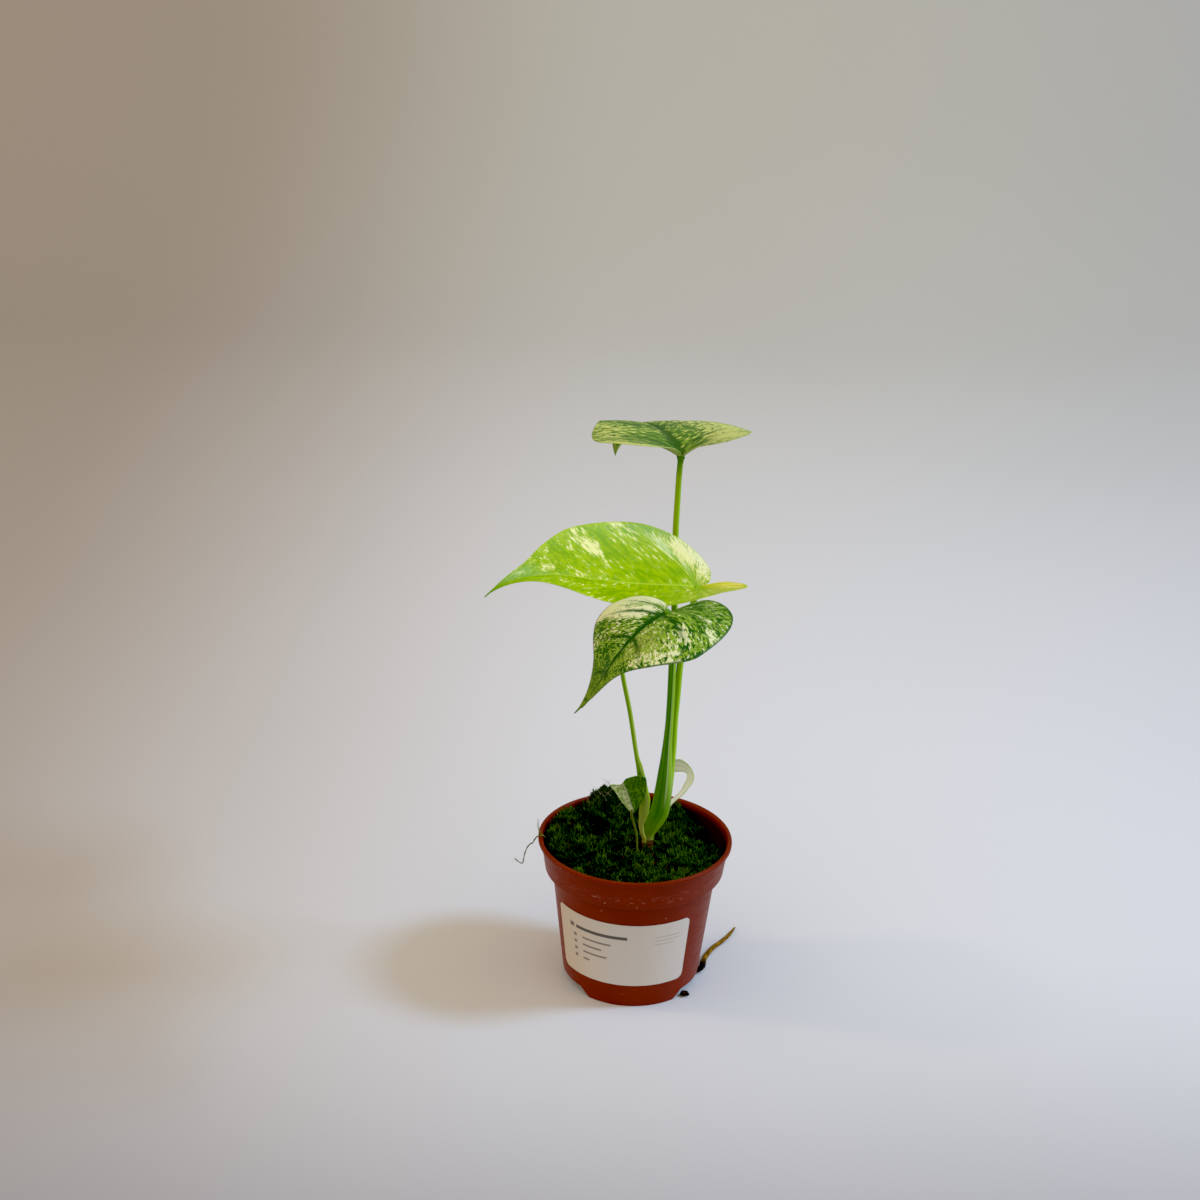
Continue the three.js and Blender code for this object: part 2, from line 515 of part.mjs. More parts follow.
// The direction in which the stalk meets its blade
function stalkDirection(blade) {
  const path = PETIOLES[blade.stalk].path;
  return vector(blade.junction).sub(vector(path[path.length - 1])).normalize();
}

// The blade, the midrib that stands out below it, and the knee that joins the petiole
function bladeGeometry(blade) {
  const place = bladePlace(blade);
  const sheet = solidOf(thicken(bladeSurface(blade, place), BLADE_THICKNESS));
  const radius = (t) => MIDRIB_RADIUS * (1 - 0.72 * t);
  const stations = 12;
  const line = [];
  for (let k = 0; k <= stations; k++) {
    const s = 0.94 * k / stations;
    const below = midrib(blade, s).up.transformDirection(place);
    const p = bladePoint(blade, 0, s, 0).applyMatrix4(place);
    line.push(p.addScaledVector(below, -BLADE_THICKNESS / 2 - 0.45 * radius(s)).toArray());
  }
  const rib = tube(curveThrough(line), { width: radius, steps: 14, sides: 6, side: [0.31, 0.22, 0.93] });
  const direction = stalkDirection(blade);
  const end = vector(blade.junction);
  const knee = new THREE.LineCurve3(end.clone().addScaledVector(direction, -KNEE), end.addScaledVector(direction, -0.5));
  const stub = tube(knee, { width: () => KNEE_RADIUS, steps: 1, sides: 10 });
  return geometryOf(sheet.add(solidOf(rib)).add(solidOf(stub)));
}

function petioleGeometry(name, grow = 0) {
  const { path, width, depth, steps, sides } = PETIOLES[name];
  const blade = Object.values(BLADES).find((one) => one.stalk === name);
  const end = vector(blade.junction).addScaledVector(stalkDirection(blade), -KNEE - GAP);
  const curve = curveThrough([...path, end.toArray()]);
  return tube(curve, { width: (t) => valueAt(width, t), depth: (t) => valueAt(depth, t), steps, sides, grow });
}

function foldedBractSolid(grow = 0) {
  const outline = new THREE.CatmullRomCurve3(BRACT_OUTLINE.map(vector), true, 'catmullrom', 0.5);
  const centre = BRACT_OUTLINE.map(vector).reduce((sum, p) => sum.add(p), new THREE.Vector3()).divideScalar(BRACT_OUTLINE.length);
  const columns = 22;
  const rows = 3;
  const { positions, index } = gridSurface(columns, rows, (i, j) => {
    const v = j / rows;
    const edge = outline.getPoint((i % columns) / columns);
    return centre.clone().lerp(edge, v).add(new THREE.Vector3(0, BRACT_CUP * (1 - v * v), 0));
  });
  const sheet = solidOf(thicken(geometryFrom(positions, index), BRACT_THICKNESS));
  const thread = solidOf(tube(curveThrough(BRACT_THREAD), { width: () => BRACT_THREAD_RADIUS, steps: 12, sides: 6, grow }));
  return grow > 0 ? thread : sheet.add(thread);
}

function curledBractGeometry() {
  const [outer, inner] = CURL_EDGES.map(curveThrough);
  const rows = 2;
  const { positions, index } = gridSurface(CURL_STEPS, rows, (i, j) => {
    const t = i / CURL_STEPS;
    const bow = new THREE.Vector3(0, 0.8 * (1 - (2 * j / rows - 1) ** 2) * t, 0);
    return outer.getPoint(t).lerp(inner.getPoint(t), j / rows).add(bow);
  });
  return thicken(geometryFrom(positions, index), BRACT_THICKNESS);
}

// A crumb with flat underside: a dome of rings whose radius varies with the azimuth
function crumbGeometry({ x, y, halfWidth, halfDepth, height }) {
  const sides = 11;
  const levels = [[0.85, 0], [1, 0.3], [0.8, 0.72], [0.4, 1]];
  const positions = [];
  const index = [];
  for (const [reach, rise] of levels) {
    for (let j = 0; j < sides; j++) {
      const turn = 2 * Math.PI * j / sides;
      const rough = reach * (0.86 + 0.14 * Math.sin(2.6 * j + 4 * rise));
      positions.push(x + halfWidth * rough * Math.cos(turn), y + halfDepth * rough * Math.sin(turn), height * rise + 0.05);
    }
  }
  const bottom = positions.length / 3;
  positions.push(x, y, 0.05, x, y, height);
  for (let j = 0; j < sides; j++) {
    const next = (j + 1) % sides;
    for (let k = 0; k < levels.length - 1; k++) {
      const [a, b] = [k * sides, (k + 1) * sides];
      index.push(a + j, a + next, b + j, a + next, b + next, b + j);
    }
    index.push(bottom, next, j, bottom + 1, bottom - sides + j, bottom - sides + next);
  }
  return geometryFrom(positions, index);
}

function strandGeometry() {
  return tube(curveThrough(STRAND), { width: () => STRAND_RADIUS, steps: 26, sides: 5, side: [0, 1, 0] });
}

const plant = new THREE.Group();

function addPiece(name, geometry, color, roughness) {
  const mesh = new THREE.Mesh(geometry, new THREE.MeshStandardMaterial({ color, roughness, metalness: 0 }));
  mesh.name = name;
  plant.add(mesh);
}

const rootHole = rootstockSolid(GAP);
addPiece('pot', potGeometry(), 0x8a3520, 0.45);
addPiece('label', labelGeometry(), 0xc4bbb0, 0.6);
addPiece('potting_mix', mixGeometry(rootHole), 0x2b1f16, 0.95);
addPiece('moss', mossGeometry(rootHole.add(foldedBractSolid(GAP))), 0x28460c, 0.95);
addPiece('moss_strand', strandGeometry(), 0x5a4a22, 0.9);
addPiece('rootstock', geometryOf(rootstockSolid()), 0x6b4a1e, 0.8);
addPiece('crumb', crumbGeometry(CRUMB), 0x17110c, 0.95);
for (const [name, blade] of Object.entries(BLADES)) addPiece(name, bladeGeometry(blade), blade.colour, blade.roughness);
const groove = solidOf(petioleGeometry('petiole_middle', HOLE_GAP));
for (const [name, { colour }] of Object.entries(PETIOLES)) {
  const stalk = petioleGeometry(name);
  addPiece(name, name === 'petiole_top' ? geometryOf(solidOf(stalk).subtract(groove)) : stalk, colour, 0.5);
}
addPiece('bract_folded', geometryOf(foldedBractSolid()), 0x4f7a2a, 0.6);
addPiece('bract_curled', curledBractGeometry(), 0xb9bf93, 0.6);

export default plant;
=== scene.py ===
"""Potted mint monstera: a young plant with three leaves in a 9 cm nursery pot.

The frame is in metres, +Z up, with the origin at the centre of the pot's flat underside and the front at
-Y. Sizes in this script are in millimetres and angles in degrees, and Form.mesh turns millimetres into
metres. An azimuth on the pot runs from the front (-Y) towards +X.
"""
import math

import bmesh
import bpy
import numpy as np
from mathutils import Matrix


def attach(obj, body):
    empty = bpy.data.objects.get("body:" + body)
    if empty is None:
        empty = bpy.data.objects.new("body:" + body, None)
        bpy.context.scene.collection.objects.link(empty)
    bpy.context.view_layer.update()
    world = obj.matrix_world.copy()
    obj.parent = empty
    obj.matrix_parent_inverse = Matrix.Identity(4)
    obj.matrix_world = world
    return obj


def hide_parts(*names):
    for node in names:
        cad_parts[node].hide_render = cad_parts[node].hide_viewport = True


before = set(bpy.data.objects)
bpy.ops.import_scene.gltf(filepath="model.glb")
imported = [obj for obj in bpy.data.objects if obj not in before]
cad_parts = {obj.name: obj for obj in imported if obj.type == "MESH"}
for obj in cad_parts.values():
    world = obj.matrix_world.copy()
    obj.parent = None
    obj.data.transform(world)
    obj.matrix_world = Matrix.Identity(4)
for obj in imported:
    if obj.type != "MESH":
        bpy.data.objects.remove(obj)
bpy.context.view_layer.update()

MM = 0.001
DEG = math.pi / 180
# points closer than this are one, in metres
MERGE = 2e-6

# Pot
POT_HEIGHT = 72.4
BASE_RADIUS = 31.5
WALL_SLOPE = 0.118
WALL = 1.1
PLATE = 1.2
COLLAR_Z = 57
COLLAR_RADIUS = 41.5
COLLAR_SLOPE = 0.15
LIP_Z = 70.4
LIP_RADIUS = 45
LIP_WIDTH = 1.9
NOTCH_AZIMUTHS = (69, 180, -69)
NOTCH_ANGLES = (66, 44)
NOTCH_HEIGHT = 4.5
NOTCH_INNER = 26.5

# Label
LABEL_AZIMUTHS = (-65.5, 44.5)
LABEL_HEIGHTS = (12.1, 46.2)
LABEL_CORNER = 3
LABEL_THICKNESS = 0.25
LABEL_GAP = 0.12
# ruled lines on the label, from its lower left corner: start, end, height, thickness and darkness
LABEL_LINES = (
    (12, 37.5, 26.6, 1.7, 0.9), (8.2, 10.8, 26.8, 2.2, 0.8),
    (15.5, 30, 21.8, 1, 0.7), (15.5, 25.5, 18, 1, 0.7), (15.5, 28, 14.2, 1, 0.7), (15.5, 19, 10.4, 1, 0.7),
    (10.2, 12, 21.8, 1.7, 0.7), (10.2, 12, 18, 1.7, 0.7),
    (10.2, 12, 14.2, 1.7, 0.7), (10.2, 12, 10.4, 1.7, 0.7),
    (50, 62, 27, 0.5, 0.3), (50, 62, 25, 0.5, 0.3), (50, 59, 23, 0.5, 0.3),
)

# Potting mix and moss
MIX_GAP = 0.3
MIX_TOP = COLLAR_Z + WALL
MIX_SIDES = 400
MOSS_BOTTOM = MIX_TOP + MIX_GAP
MOSS_LEVEL = 66.2
MOSS_HUMP = {"x": -14.5, "y": 32, "height": 13, "spread": 5.6}
MOSS_DIP = {"x": 40, "y": 16, "height": -6.5, "spread": 15}
MOSS_BANKS = (
    {"x": -25, "y": 24, "height": 2.6, "spread": 8},
    {"x": -39, "y": 0, "height": 5.2, "spread": 13},
    {"x": -33, "y": 22, "height": 3, "spread": 9},
    {"x": -6, "y": 34, "height": 5, "spread": 5},
    {"x": 20, "y": 34, "height": 5, "spread": 10},
    {"x": 0, "y": 0, "height": 0.7, "spread": 40},
)
MOSS_LEAST = 1.6
# how far the clumps rise over the hollows between them
CLUMP_RISE = 2.4
MOSS_SPRIGS = 8200
# the rings of a sprig: their places along it and their shares of its thickness
SPRIG_PLACES = (0, 0.4, 0.75, 1.0)
SPRIG_TAPER = (0.8, 1.0, 0.75, 0.12)
MOSS_HAIRS = 12
HAIR = 2

# Rootstock and stalk seats
STEM = {"x": 5.9, "y": 1.2, "half_width": 2.7, "half_depth": 3.8, "top": 70, "foot": 44}
SEAT_Z = STEM["top"] + MIX_GAP
STEM_RINGS = 11
FEEDER_ROOTS = 4

# Blades. Each lies along its own x axis from the junction to the tip, with x in lengths and y in half
# widths. Pairs hold the value of the left half (+y) and then of the right half. bend, swing and twist turn
# the midrib down, sideways and about itself along its length. The outline runs from junction to tip.
HALF_SIDES = (1, -1)
BLADE_THICKNESS = 0.5
MARGIN_THICKNESS = 0.28
MARGIN_ROUNDING = 0.12
VEIN_LEAN = 0.22
VEIN_SWEEP = 1.4
KNEE = 2.2
KNEE_RADIUS = 1.35
KNEE_SWELL = (0.97, 1.06, 1.45, 0.8)
MIDRIB_STEPS = 16
MIDRIB_RADIUS = 1.1
MIDRIB_GULLY = 0.3
SIDE_VEINS = 9
RELIEF = 0.2
BLADE_LINES = 168
BLADE_ROWS = 34
UNDERSIDE = 1
RIB = 2
KNEE_PART = 3
BLADES = {
    "blade_top": {
        "junction": (14.8, 33.5, 247.8), "heading": 102.5, "pitch": -12.4, "roll": -1.3, "length": 90.6,
        "half_width": (35.7, 35.7), "lobe": (0.897, 1.484), "taper": (0.07, -0.05),
        "bend": (-15.8, 11.5, 82.6), "lobe_bend": 4.4, "swing": (14.5, 8.4), "twist": 4.9,
        "fold": (10.5, 9.6), "fold_gain": (-1.3, -8.8), "curl": (-20.4, -14.3), "funnel": (9, 12.7),
        "wave": (0.6, 3.2, 0.4), "stalk": "petiole_top",
        "outline": ((0, 0), (-0.08, 0.06), (-0.16, 0.26), (-0.185, 0.52), (-0.1, 0.8), (0.08, 0.99),
                    (0.25, 1), (0.47, 0.81), (0.68, 0.51), (0.83, 0.25), (0.92, 0.09), (1, 0)),
    },
    "blade_middle": {
        "junction": (23.4, 0, 198.3), "heading": 204.5, "pitch": 2.8, "roll": -11.6, "length": 108.5,
        "half_width": (31.7, 33.5), "lobe": (1.145, 0.563), "taper": (0.58, 0),
        "bend": (-39.9, -1.1, 81.5), "lobe_bend": -0.6, "swing": (1.7, 7.3), "twist": -20.8,
        "fold": (9, 5.4), "fold_gain": (-17.3, -8.8), "curl": (35.6, 29.4), "funnel": (3.4, 5.9),
        "wave": (0.5, 2.6, 1.1), "stalk": "petiole_middle",
        "outline": ((0, 0), (-0.1, 0.04), (-0.155, 0.24), (-0.125, 0.5), (-0.005, 0.78), (0.14, 0.99),
                    (0.31, 1), (0.53, 0.8), (0.68, 0.49), (0.79, 0.22), (0.92, 0.05), (1, 0)),
    },
    "blade_lower": {
        "junction": (9.3, -63, 213.1), "heading": 228.7, "pitch": -1.4, "roll": 2.5, "length": 62.1,
        "half_width": (32.2, 31.8), "lobe": (1.432, 0.466), "taper": (0.47, 0.13),
        "bend": (94.4, -6.5, -54.9), "lobe_bend": -9.3, "swing": (-24.6, -5.4), "twist": 3.1,
        "fold": (14.1, 7.3), "fold_gain": (-4.7, -6.9), "curl": (-41.7, -32), "funnel": (2, 9),
        "wave": (0.5, 2.8, 2), "stalk": "petiole_lower",
        "outline": ((0, 0), (-0.05, 0.05), (-0.17, 0.2), (-0.18, 0.51), (-0.12, 0.82), (0.03, 0.99),
                    (0.28, 1), (0.47, 0.83), (0.63, 0.5), (0.8, 0.22), (0.92, 0.06), (1, 0)),
    },
}

# Petioles: the points that each stalk passes, from its seat up, with half width in x and half depth in y
PETIOLES = {
    "petiole_top": {
        "path": ((6.4, 1.7, SEAT_Z), (6.45, 1.75, 72.2), (6.9, 2, 74.4), (8.2, 2.6, 77.6), (9.8, 3.2, 81.1),
                 (11.2, 3.8, 84.8), (12.3, 4.9, 93.5), (12.9, 6.2, 102.8), (13.2, 7.4, 110),
                 (13.5, 8.4, 117.2), (13.9, 9.6, 126), (14.2, 11.2, 137.5), (14.3, 13.9, 154),
                 (14.4, 19.6, 179.9), (13.7, 26.5, 212.4), (14, 29.6, 228.6), (14.2, 31, 237.7)),
        "width": (2.2, 2.4, 2.9, 3.9, 4.4, 4.4, 4, 3.3, 2.6, 2.1, 1.8, 1.75, 1.7, 1.45, 1.4, 1.35, 1.3,
                  1.3),
        "depth": (1.8, 1.9, 2.2, 2.5, 2.6, 2.6, 2.5, 2.3, 2.1, 1.9, 1.75, 1.7, 1.7, 1.45, 1.4, 1.35, 1.3,
                  1.3),
    },
    "petiole_middle": {
        "path": ((14.1, 5.4, 82), (15, 6.6, 91.5), (15.6, 8.2, 100.9), (16.3, 11.6, 115.5),
                 (16.5, 13.4, 126), (17.2, 14.6, 139), (17.9, 15.2, 154), (19.1, 12, 166.9),
                 (20.7, 7.4, 179.6), (22.4, 3.2, 191)),
        "width": (0.3, 1.4, 1.55, 1.55, 1.55, 1.55, 1.55, 1.5, 1.45, 1.35, 1.3),
        "depth": (0.3, 1.4, 1.55, 1.55, 1.55, 1.55, 1.55, 1.5, 1.45, 1.35, 1.3),
    },
    "petiole_lower": {
        "path": ((4.2, -1.4, SEAT_Z), (4.15, -1.45, 72.2), (3.1, -2.1, 75.6), (2.6, -2.8, 80.2),
                 (3.5, -4.4, 87.3), (3.8, -7, 95.1), (2.9, -10, 101.8), (1.5, -14, 110.6),
                 (0.2, -18, 118.6), (-1.3, -21.5, 126.1), (-4.9, -29, 150.2), (-8.9, -38, 173.2),
                 (-9.6, -44, 187), (-6.4, -51, 199.5), (0.6, -58, 208.2)),
        "width": (1, 1, 1, 1.2, 2.2, 2.4, 2.1, 1.8, 1.4, 1, 1, 1, 1, 1, 1, 1.1),
        "depth": (1, 1, 1, 1, 1.1, 1.2, 1.2, 1.1, 1, 1, 1, 1, 1, 1, 1, 1.1),
    },
}
HOLE_GAP = 0.35

# Folded bract and its thread, and the two long edges of the curled bract
BRACT_OUTLINE = ((-12.4, -16.9, 107.4), (-7.8, -17.1, 108), (-5.5, -18.7, 111.6), (-2.4, -19.3, 113.2),
                 (0.4, -19.5, 113.9), (3.1, -19.4, 113.2), (3.9, -17.8, 109.6), (3.8, -15.9, 103.6),
                 (2.1, -13.6, 97.4), (0.3, -11.8, 93.3), (-2, -10.4, 90.2), (-5.9, -12.2, 95.2),
                 (-9.7, -14.8, 102.3))
BRACT_CUP = 2.6
BRACT_CREASE = ((-6.8, 109.4), (-1.2, 90.6))
BRACT_THREAD = ((-2, -10.9, 92), (-2.2, -10, 88.6), (-0.9, -7.4, 83), (0.6, -5.4, 75.7), (1, -4.6, 69),
                (1, -4.5, 62))
CURL_EDGES = (
    ((8.2, 4.2, SEAT_Z + 0.3), (9.6, 5.4, 73.6), (13.6, 7.8, 79.6), (16.4, 9.5, 84), (19.5, 10.5, 87),
     (22.3, 11, 89.6), (25, 12, 93.2), (26.6, 12.5, 96.2), (26.2, 13, 99.9), (23.9, 13.5, 103.6),
     (20.6, 14, 105.8), (17.4, 14.8, 105.4), (14.3, 15.6, 103.3)),
    ((7, 4.9, SEAT_Z + 0.3), (8.4, 6.6, 74.2), (12.6, 9.3, 80.8), (15.6, 11, 85.4), (18.1, 11.8, 87.8),
     (20.5, 12.3, 90.3), (21.8, 13, 92.8), (23.3, 14, 96.1), (23, 14.8, 98.3), (20.9, 15.3, 98.8),
     (17.4, 15.9, 98.2), (14.6, 16.4, 97.2), (12.6, 16.8, 96.6)),
)

# Root out of the right drain notch, moss strand over the rim, crumb at the notch
OUTER_ROOT = ((6.2, 1, 50), (11, -0.6, 38), (18, -2.6, 20), (23.5, -3.4, 7.5), (27.6, -2.8, 3),
              (30.9, -1.6, 2.1), (33.4, 0.5, 1.9), (34.6, 4.6, 1.8), (35.9, 11.5, 1.4), (40, 20.8, 1.3),
              (45, 28, 1.2), (48.5, 34.5, 1), (51.4, 41.3, 0.8))
OUTER_ROOT_RADII = (1.2, 1.1, 1, 1, 1, 1.05, 1.15, 1.4, 1.15, 1.1, 1, 0.85, 0.4)
STRAND = ((-41.7, -3.2, 71.7), (-42.5, -3.3, 73), (-44, -3.5, 73.2), (-45.3, -3.6, 72.7),
          (-46.4, -3.7, 71.4), (-47.4, -3.6, 69.4), (-48.8, -3.5, 68.4), (-50.1, -3.5, 66.3),
          (-51.1, -3.5, 63.2), (-51.6, -3.5, 60.1), (-52.1, -3.5, 58.3), (-53.6, -3.5, 58.9),
          (-55.7, -3.5, 60.7))
STRAND_HAIRS = 5
STRAND_LEAFLETS = 16
ROOT_SIDES = 26
ROOT_GRAINS = 12
CRUMB_GRAINS = 17
LUMP_SIDES = 34
LUMP_ROWS = 19
CRUMB = {"x": 25.3, "y": -20.9, "half_width": 2.7, "half_depth": 2.1, "height": 3}


def wall_radius(z):
    return BASE_RADIUS + WALL_SLOPE * z


def collar_radius(z):
    return COLLAR_RADIUS + COLLAR_SLOPE * (z - COLLAR_Z)


def through(points, t, closed=False):
    """Points at t, from 0 to 1, of the smooth curve through the given points. Between p1 and p2, with
    neighbours p0 and p3 and w from 0 to 1, it is half of 2 p1 + (p2 - p0) w + (2 p0 - 5 p1 + 4 p2 - p3) w^2
    + (3 p1 - p0 - 3 p2 + p3) w^3. An open curve repeats its first and last steps past its ends."""
    p = np.asarray(points, float)
    if closed:
        p = np.vstack([p[-1:], p, p[:2]])
    else:
        p = np.vstack([2 * p[0] - p[1], p, 2 * p[-1] - p[-2]])
    place = np.clip(t, 0, 1) * (len(p) - 3)
    k = np.minimum(place.astype(int), len(p) - 4)
    w = (place - k)[..., None]
    p0, p1, p2, p3 = (p[k + n] for n in range(4))
    cubic = 3 * p1 - p0 - 3 * p2 + p3
    return 0.5 * (2 * p1 + (p2 - p0) * w + (2 * p0 - 5 * p1 + 4 * p2 - p3) * w**2 + cubic * w**3)


def valued(stations, t):
    """Value at t, from 0 to 1, of evenly spaced values joined by straight lines."""
    return np.interp(t, np.linspace(0, 1, len(stations)), stations)


def unit(v):
    return v / np.maximum(np.linalg.norm(v, axis=-1, keepdims=True), 1e-12)


def smooth(t, low, high):
    """3 s^2 - 2 s^3 where s runs from 0 at low to 1 at high."""
    s = np.clip((t - low) / (high - low), 0, 1)
    return s * s * (3 - 2 * s)


def circle(sides):
    """The angles of evenly spaced points of a circle."""
    return np.linspace(0, 2 * math.pi, sides, endpoint=False)


def grid_faces(rows, columns, wrap=False):
    """The quads of a grid of points, row by row. With wrap the last column joins the first."""
    i, j = np.meshgrid(np.arange(rows - 1), np.arange(columns if wrap else columns - 1), indexing="ij")
    a, b = i * columns + j, i * columns + (j + 1) % columns
    return np.stack([a, b, b + columns, a + columns], -1).reshape(-1, 4)


class Form:
    """A mesh put together from grids of points in millimetres, with faces as rows of point numbers, and for
    each point the three numbers of its mark, which the materials read."""

    def __init__(self):
        self.points, self.faces, self.marks, self.count = [], [], [], 0

    def add(self, points, *faces, mark=(0, 0, 0)):
        """Adds a grid of points with its faces. Each number of the mark is spread over the grid."""
        shape = np.shape(points)[:-1]
        self.points.append(np.reshape(points, (-1, 3)))
        self.faces += [np.asarray(part) + self.count for part in faces]
        self.marks.append(np.stack([np.broadcast_to(number, shape).ravel() for number in mark], -1))
        self.count += len(self.points[-1])

    def mesh(self, name):
        """One mesh with points closer than MERGE merged, and every closed surface's faces pointing out."""
        mesh = bpy.data.meshes.new(name)
        points = np.concatenate(self.points) * MM
        corners = np.concatenate([f.ravel() for f in self.faces])
        sizes = np.concatenate([np.full(len(f), f.shape[1]) for f in self.faces])
        mesh.vertices.add(len(points))
        mesh.vertices.foreach_set("co", points.ravel())
        mesh.loops.add(len(corners))
        mesh.loops.foreach_set("vertex_index", corners.astype(np.int32))
        mesh.polygons.add(len(sizes))
        mesh.polygons.foreach_set("loop_start", (np.cumsum(sizes) - sizes).astype(np.int32))
        mesh.update(calc_edges=True)
        mark = mesh.attributes.new("mark", "FLOAT_VECTOR", "POINT")
        mark.data.foreach_set("vector", np.concatenate(self.marks).astype(np.float32).ravel())
        work = bmesh.new()
        work.from_mesh(mesh)
        bmesh.ops.remove_doubles(work, verts=work.verts, dist=MERGE)
        bmesh.ops.dissolve_degenerate(work, edges=work.edges, dist=MERGE / 4)
        bmesh.ops.recalc_face_normals(work, faces=work.faces)
        work.to_mesh(mesh)
        work.free()
        mesh.polygons.foreach_set("use_smooth", np.ones(len(mesh.polygons), bool))
        return mesh


def added(name, data):
    """A new object of the scene."""
    item = bpy.data.objects.new(name, data)
    bpy.context.scene.collection.objects.link(item)
    return item


def piece(name, form, node, finish, sharp=None):
    """A shown piece in the place of a CAD node, with edges sharper than the angle sharp left unsmoothed."""
    mesh = form.mesh(name) if isinstance(form, Form) else form
    mesh.materials.append(finish)
    if sharp:
        mesh.set_sharp_from_angle(angle=sharp * DEG)
    shown = added(name, mesh)
    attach(shown, "root")
    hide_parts(node)


def sections(path, t, width, depth, sides, side=(1, 0, 0)):
    """Elliptic sections along a smooth path, one row for each t: centre + width cos(a) across + depth
    sin(a) third, where across is side made square to the path and third is square to both."""
    centre = through(path, t)
    step = 1e-4
    along = unit(through(path, t + step * (t < 1)) - through(path, t - step * (t > 0)))
    across = unit(np.array(side) - along * (along @ np.array(side, float))[:, None])
    third = np.cross(along, across)
    turn = circle(sides)[:, None]
    width, depth = (np.reshape(v, (len(t), -1, 1)) for v in (width, depth))
    rings = width * np.cos(turn) * across[:, None] + depth * np.sin(turn) * third[:, None]
    return centre, rings + centre[:, None]


def closed_tube(form, centre, rings, mark):
    """Adds a tube of rings with its two ends drawn in to their centres, which take the marks of the end
    rings."""
    rows, sides = rings.shape[:2]
    first, last = (np.broadcast_to(centre[end], (1, sides, 3)) for end in (0, -1))
    mark = [np.broadcast_to(number, (rows, sides)) for number in mark]
    mark = [np.concatenate([number[:1], number, number[-1:]]) for number in mark]
    form.add(np.concatenate([first, rings, last]), grid_faces(rows + 2, sides, wrap=True), mark=mark)


def tube(form, path, width, depth=None, *, steps, sides, side=(1, 0, 0), part=0):
    """A closed tube along path, with its half width and half depth as functions of the place along it. Its
    mark is the place along it, the place round it and part."""
    t = np.linspace(0, 1, steps + 1)
    centre, rings = sections(path, t, width(t), (depth or width)(t), sides, side)
    closed_tube(form, centre, rings, (t[:, None], np.arange(sides) / sides, part))


def bowed(base, tip, bow):
    """The three points of a path from base to tip, the middle one moved by bow."""
    return base, (base + tip) / 2 + bow, tip


def closed_sheet(form, front, back, mark):
    """Two grids of points a thickness apart, joined along their four borders."""
    shape = front.shape[:2]
    mark = [np.broadcast_to(number, shape) for number in mark]
    for layer in (front, back):
        form.add(layer, grid_faces(*shape), mark=mark)
    every = slice(None)
    for border in ((every, 0), (every, -1), (0, every), (-1, every)):
        strip = np.stack([front[border], back[border]])
        form.add(strip, grid_faces(*strip.shape[:2]), mark=[number[border] for number in mark])


class Value:
    """A number in a material. Operators on it add Math nodes."""

    def __init__(self, finish, socket):
        self.finish, self.socket = finish, socket

    def math(self, operation, *others):
        return self.finish.node("Math", [self, *others], operation=operation)

    def __add__(self, other):
        return self.math("ADD", other)

    def __sub__(self, other):
        return self.math("SUBTRACT", other)

    def __rsub__(self, other):
        return self.finish.node("Math", [other, self], operation="SUBTRACT")

    def __mul__(self, other):
        return self.math("MULTIPLY", other)

    __radd__ = __add__
    __rmul__ = __mul__


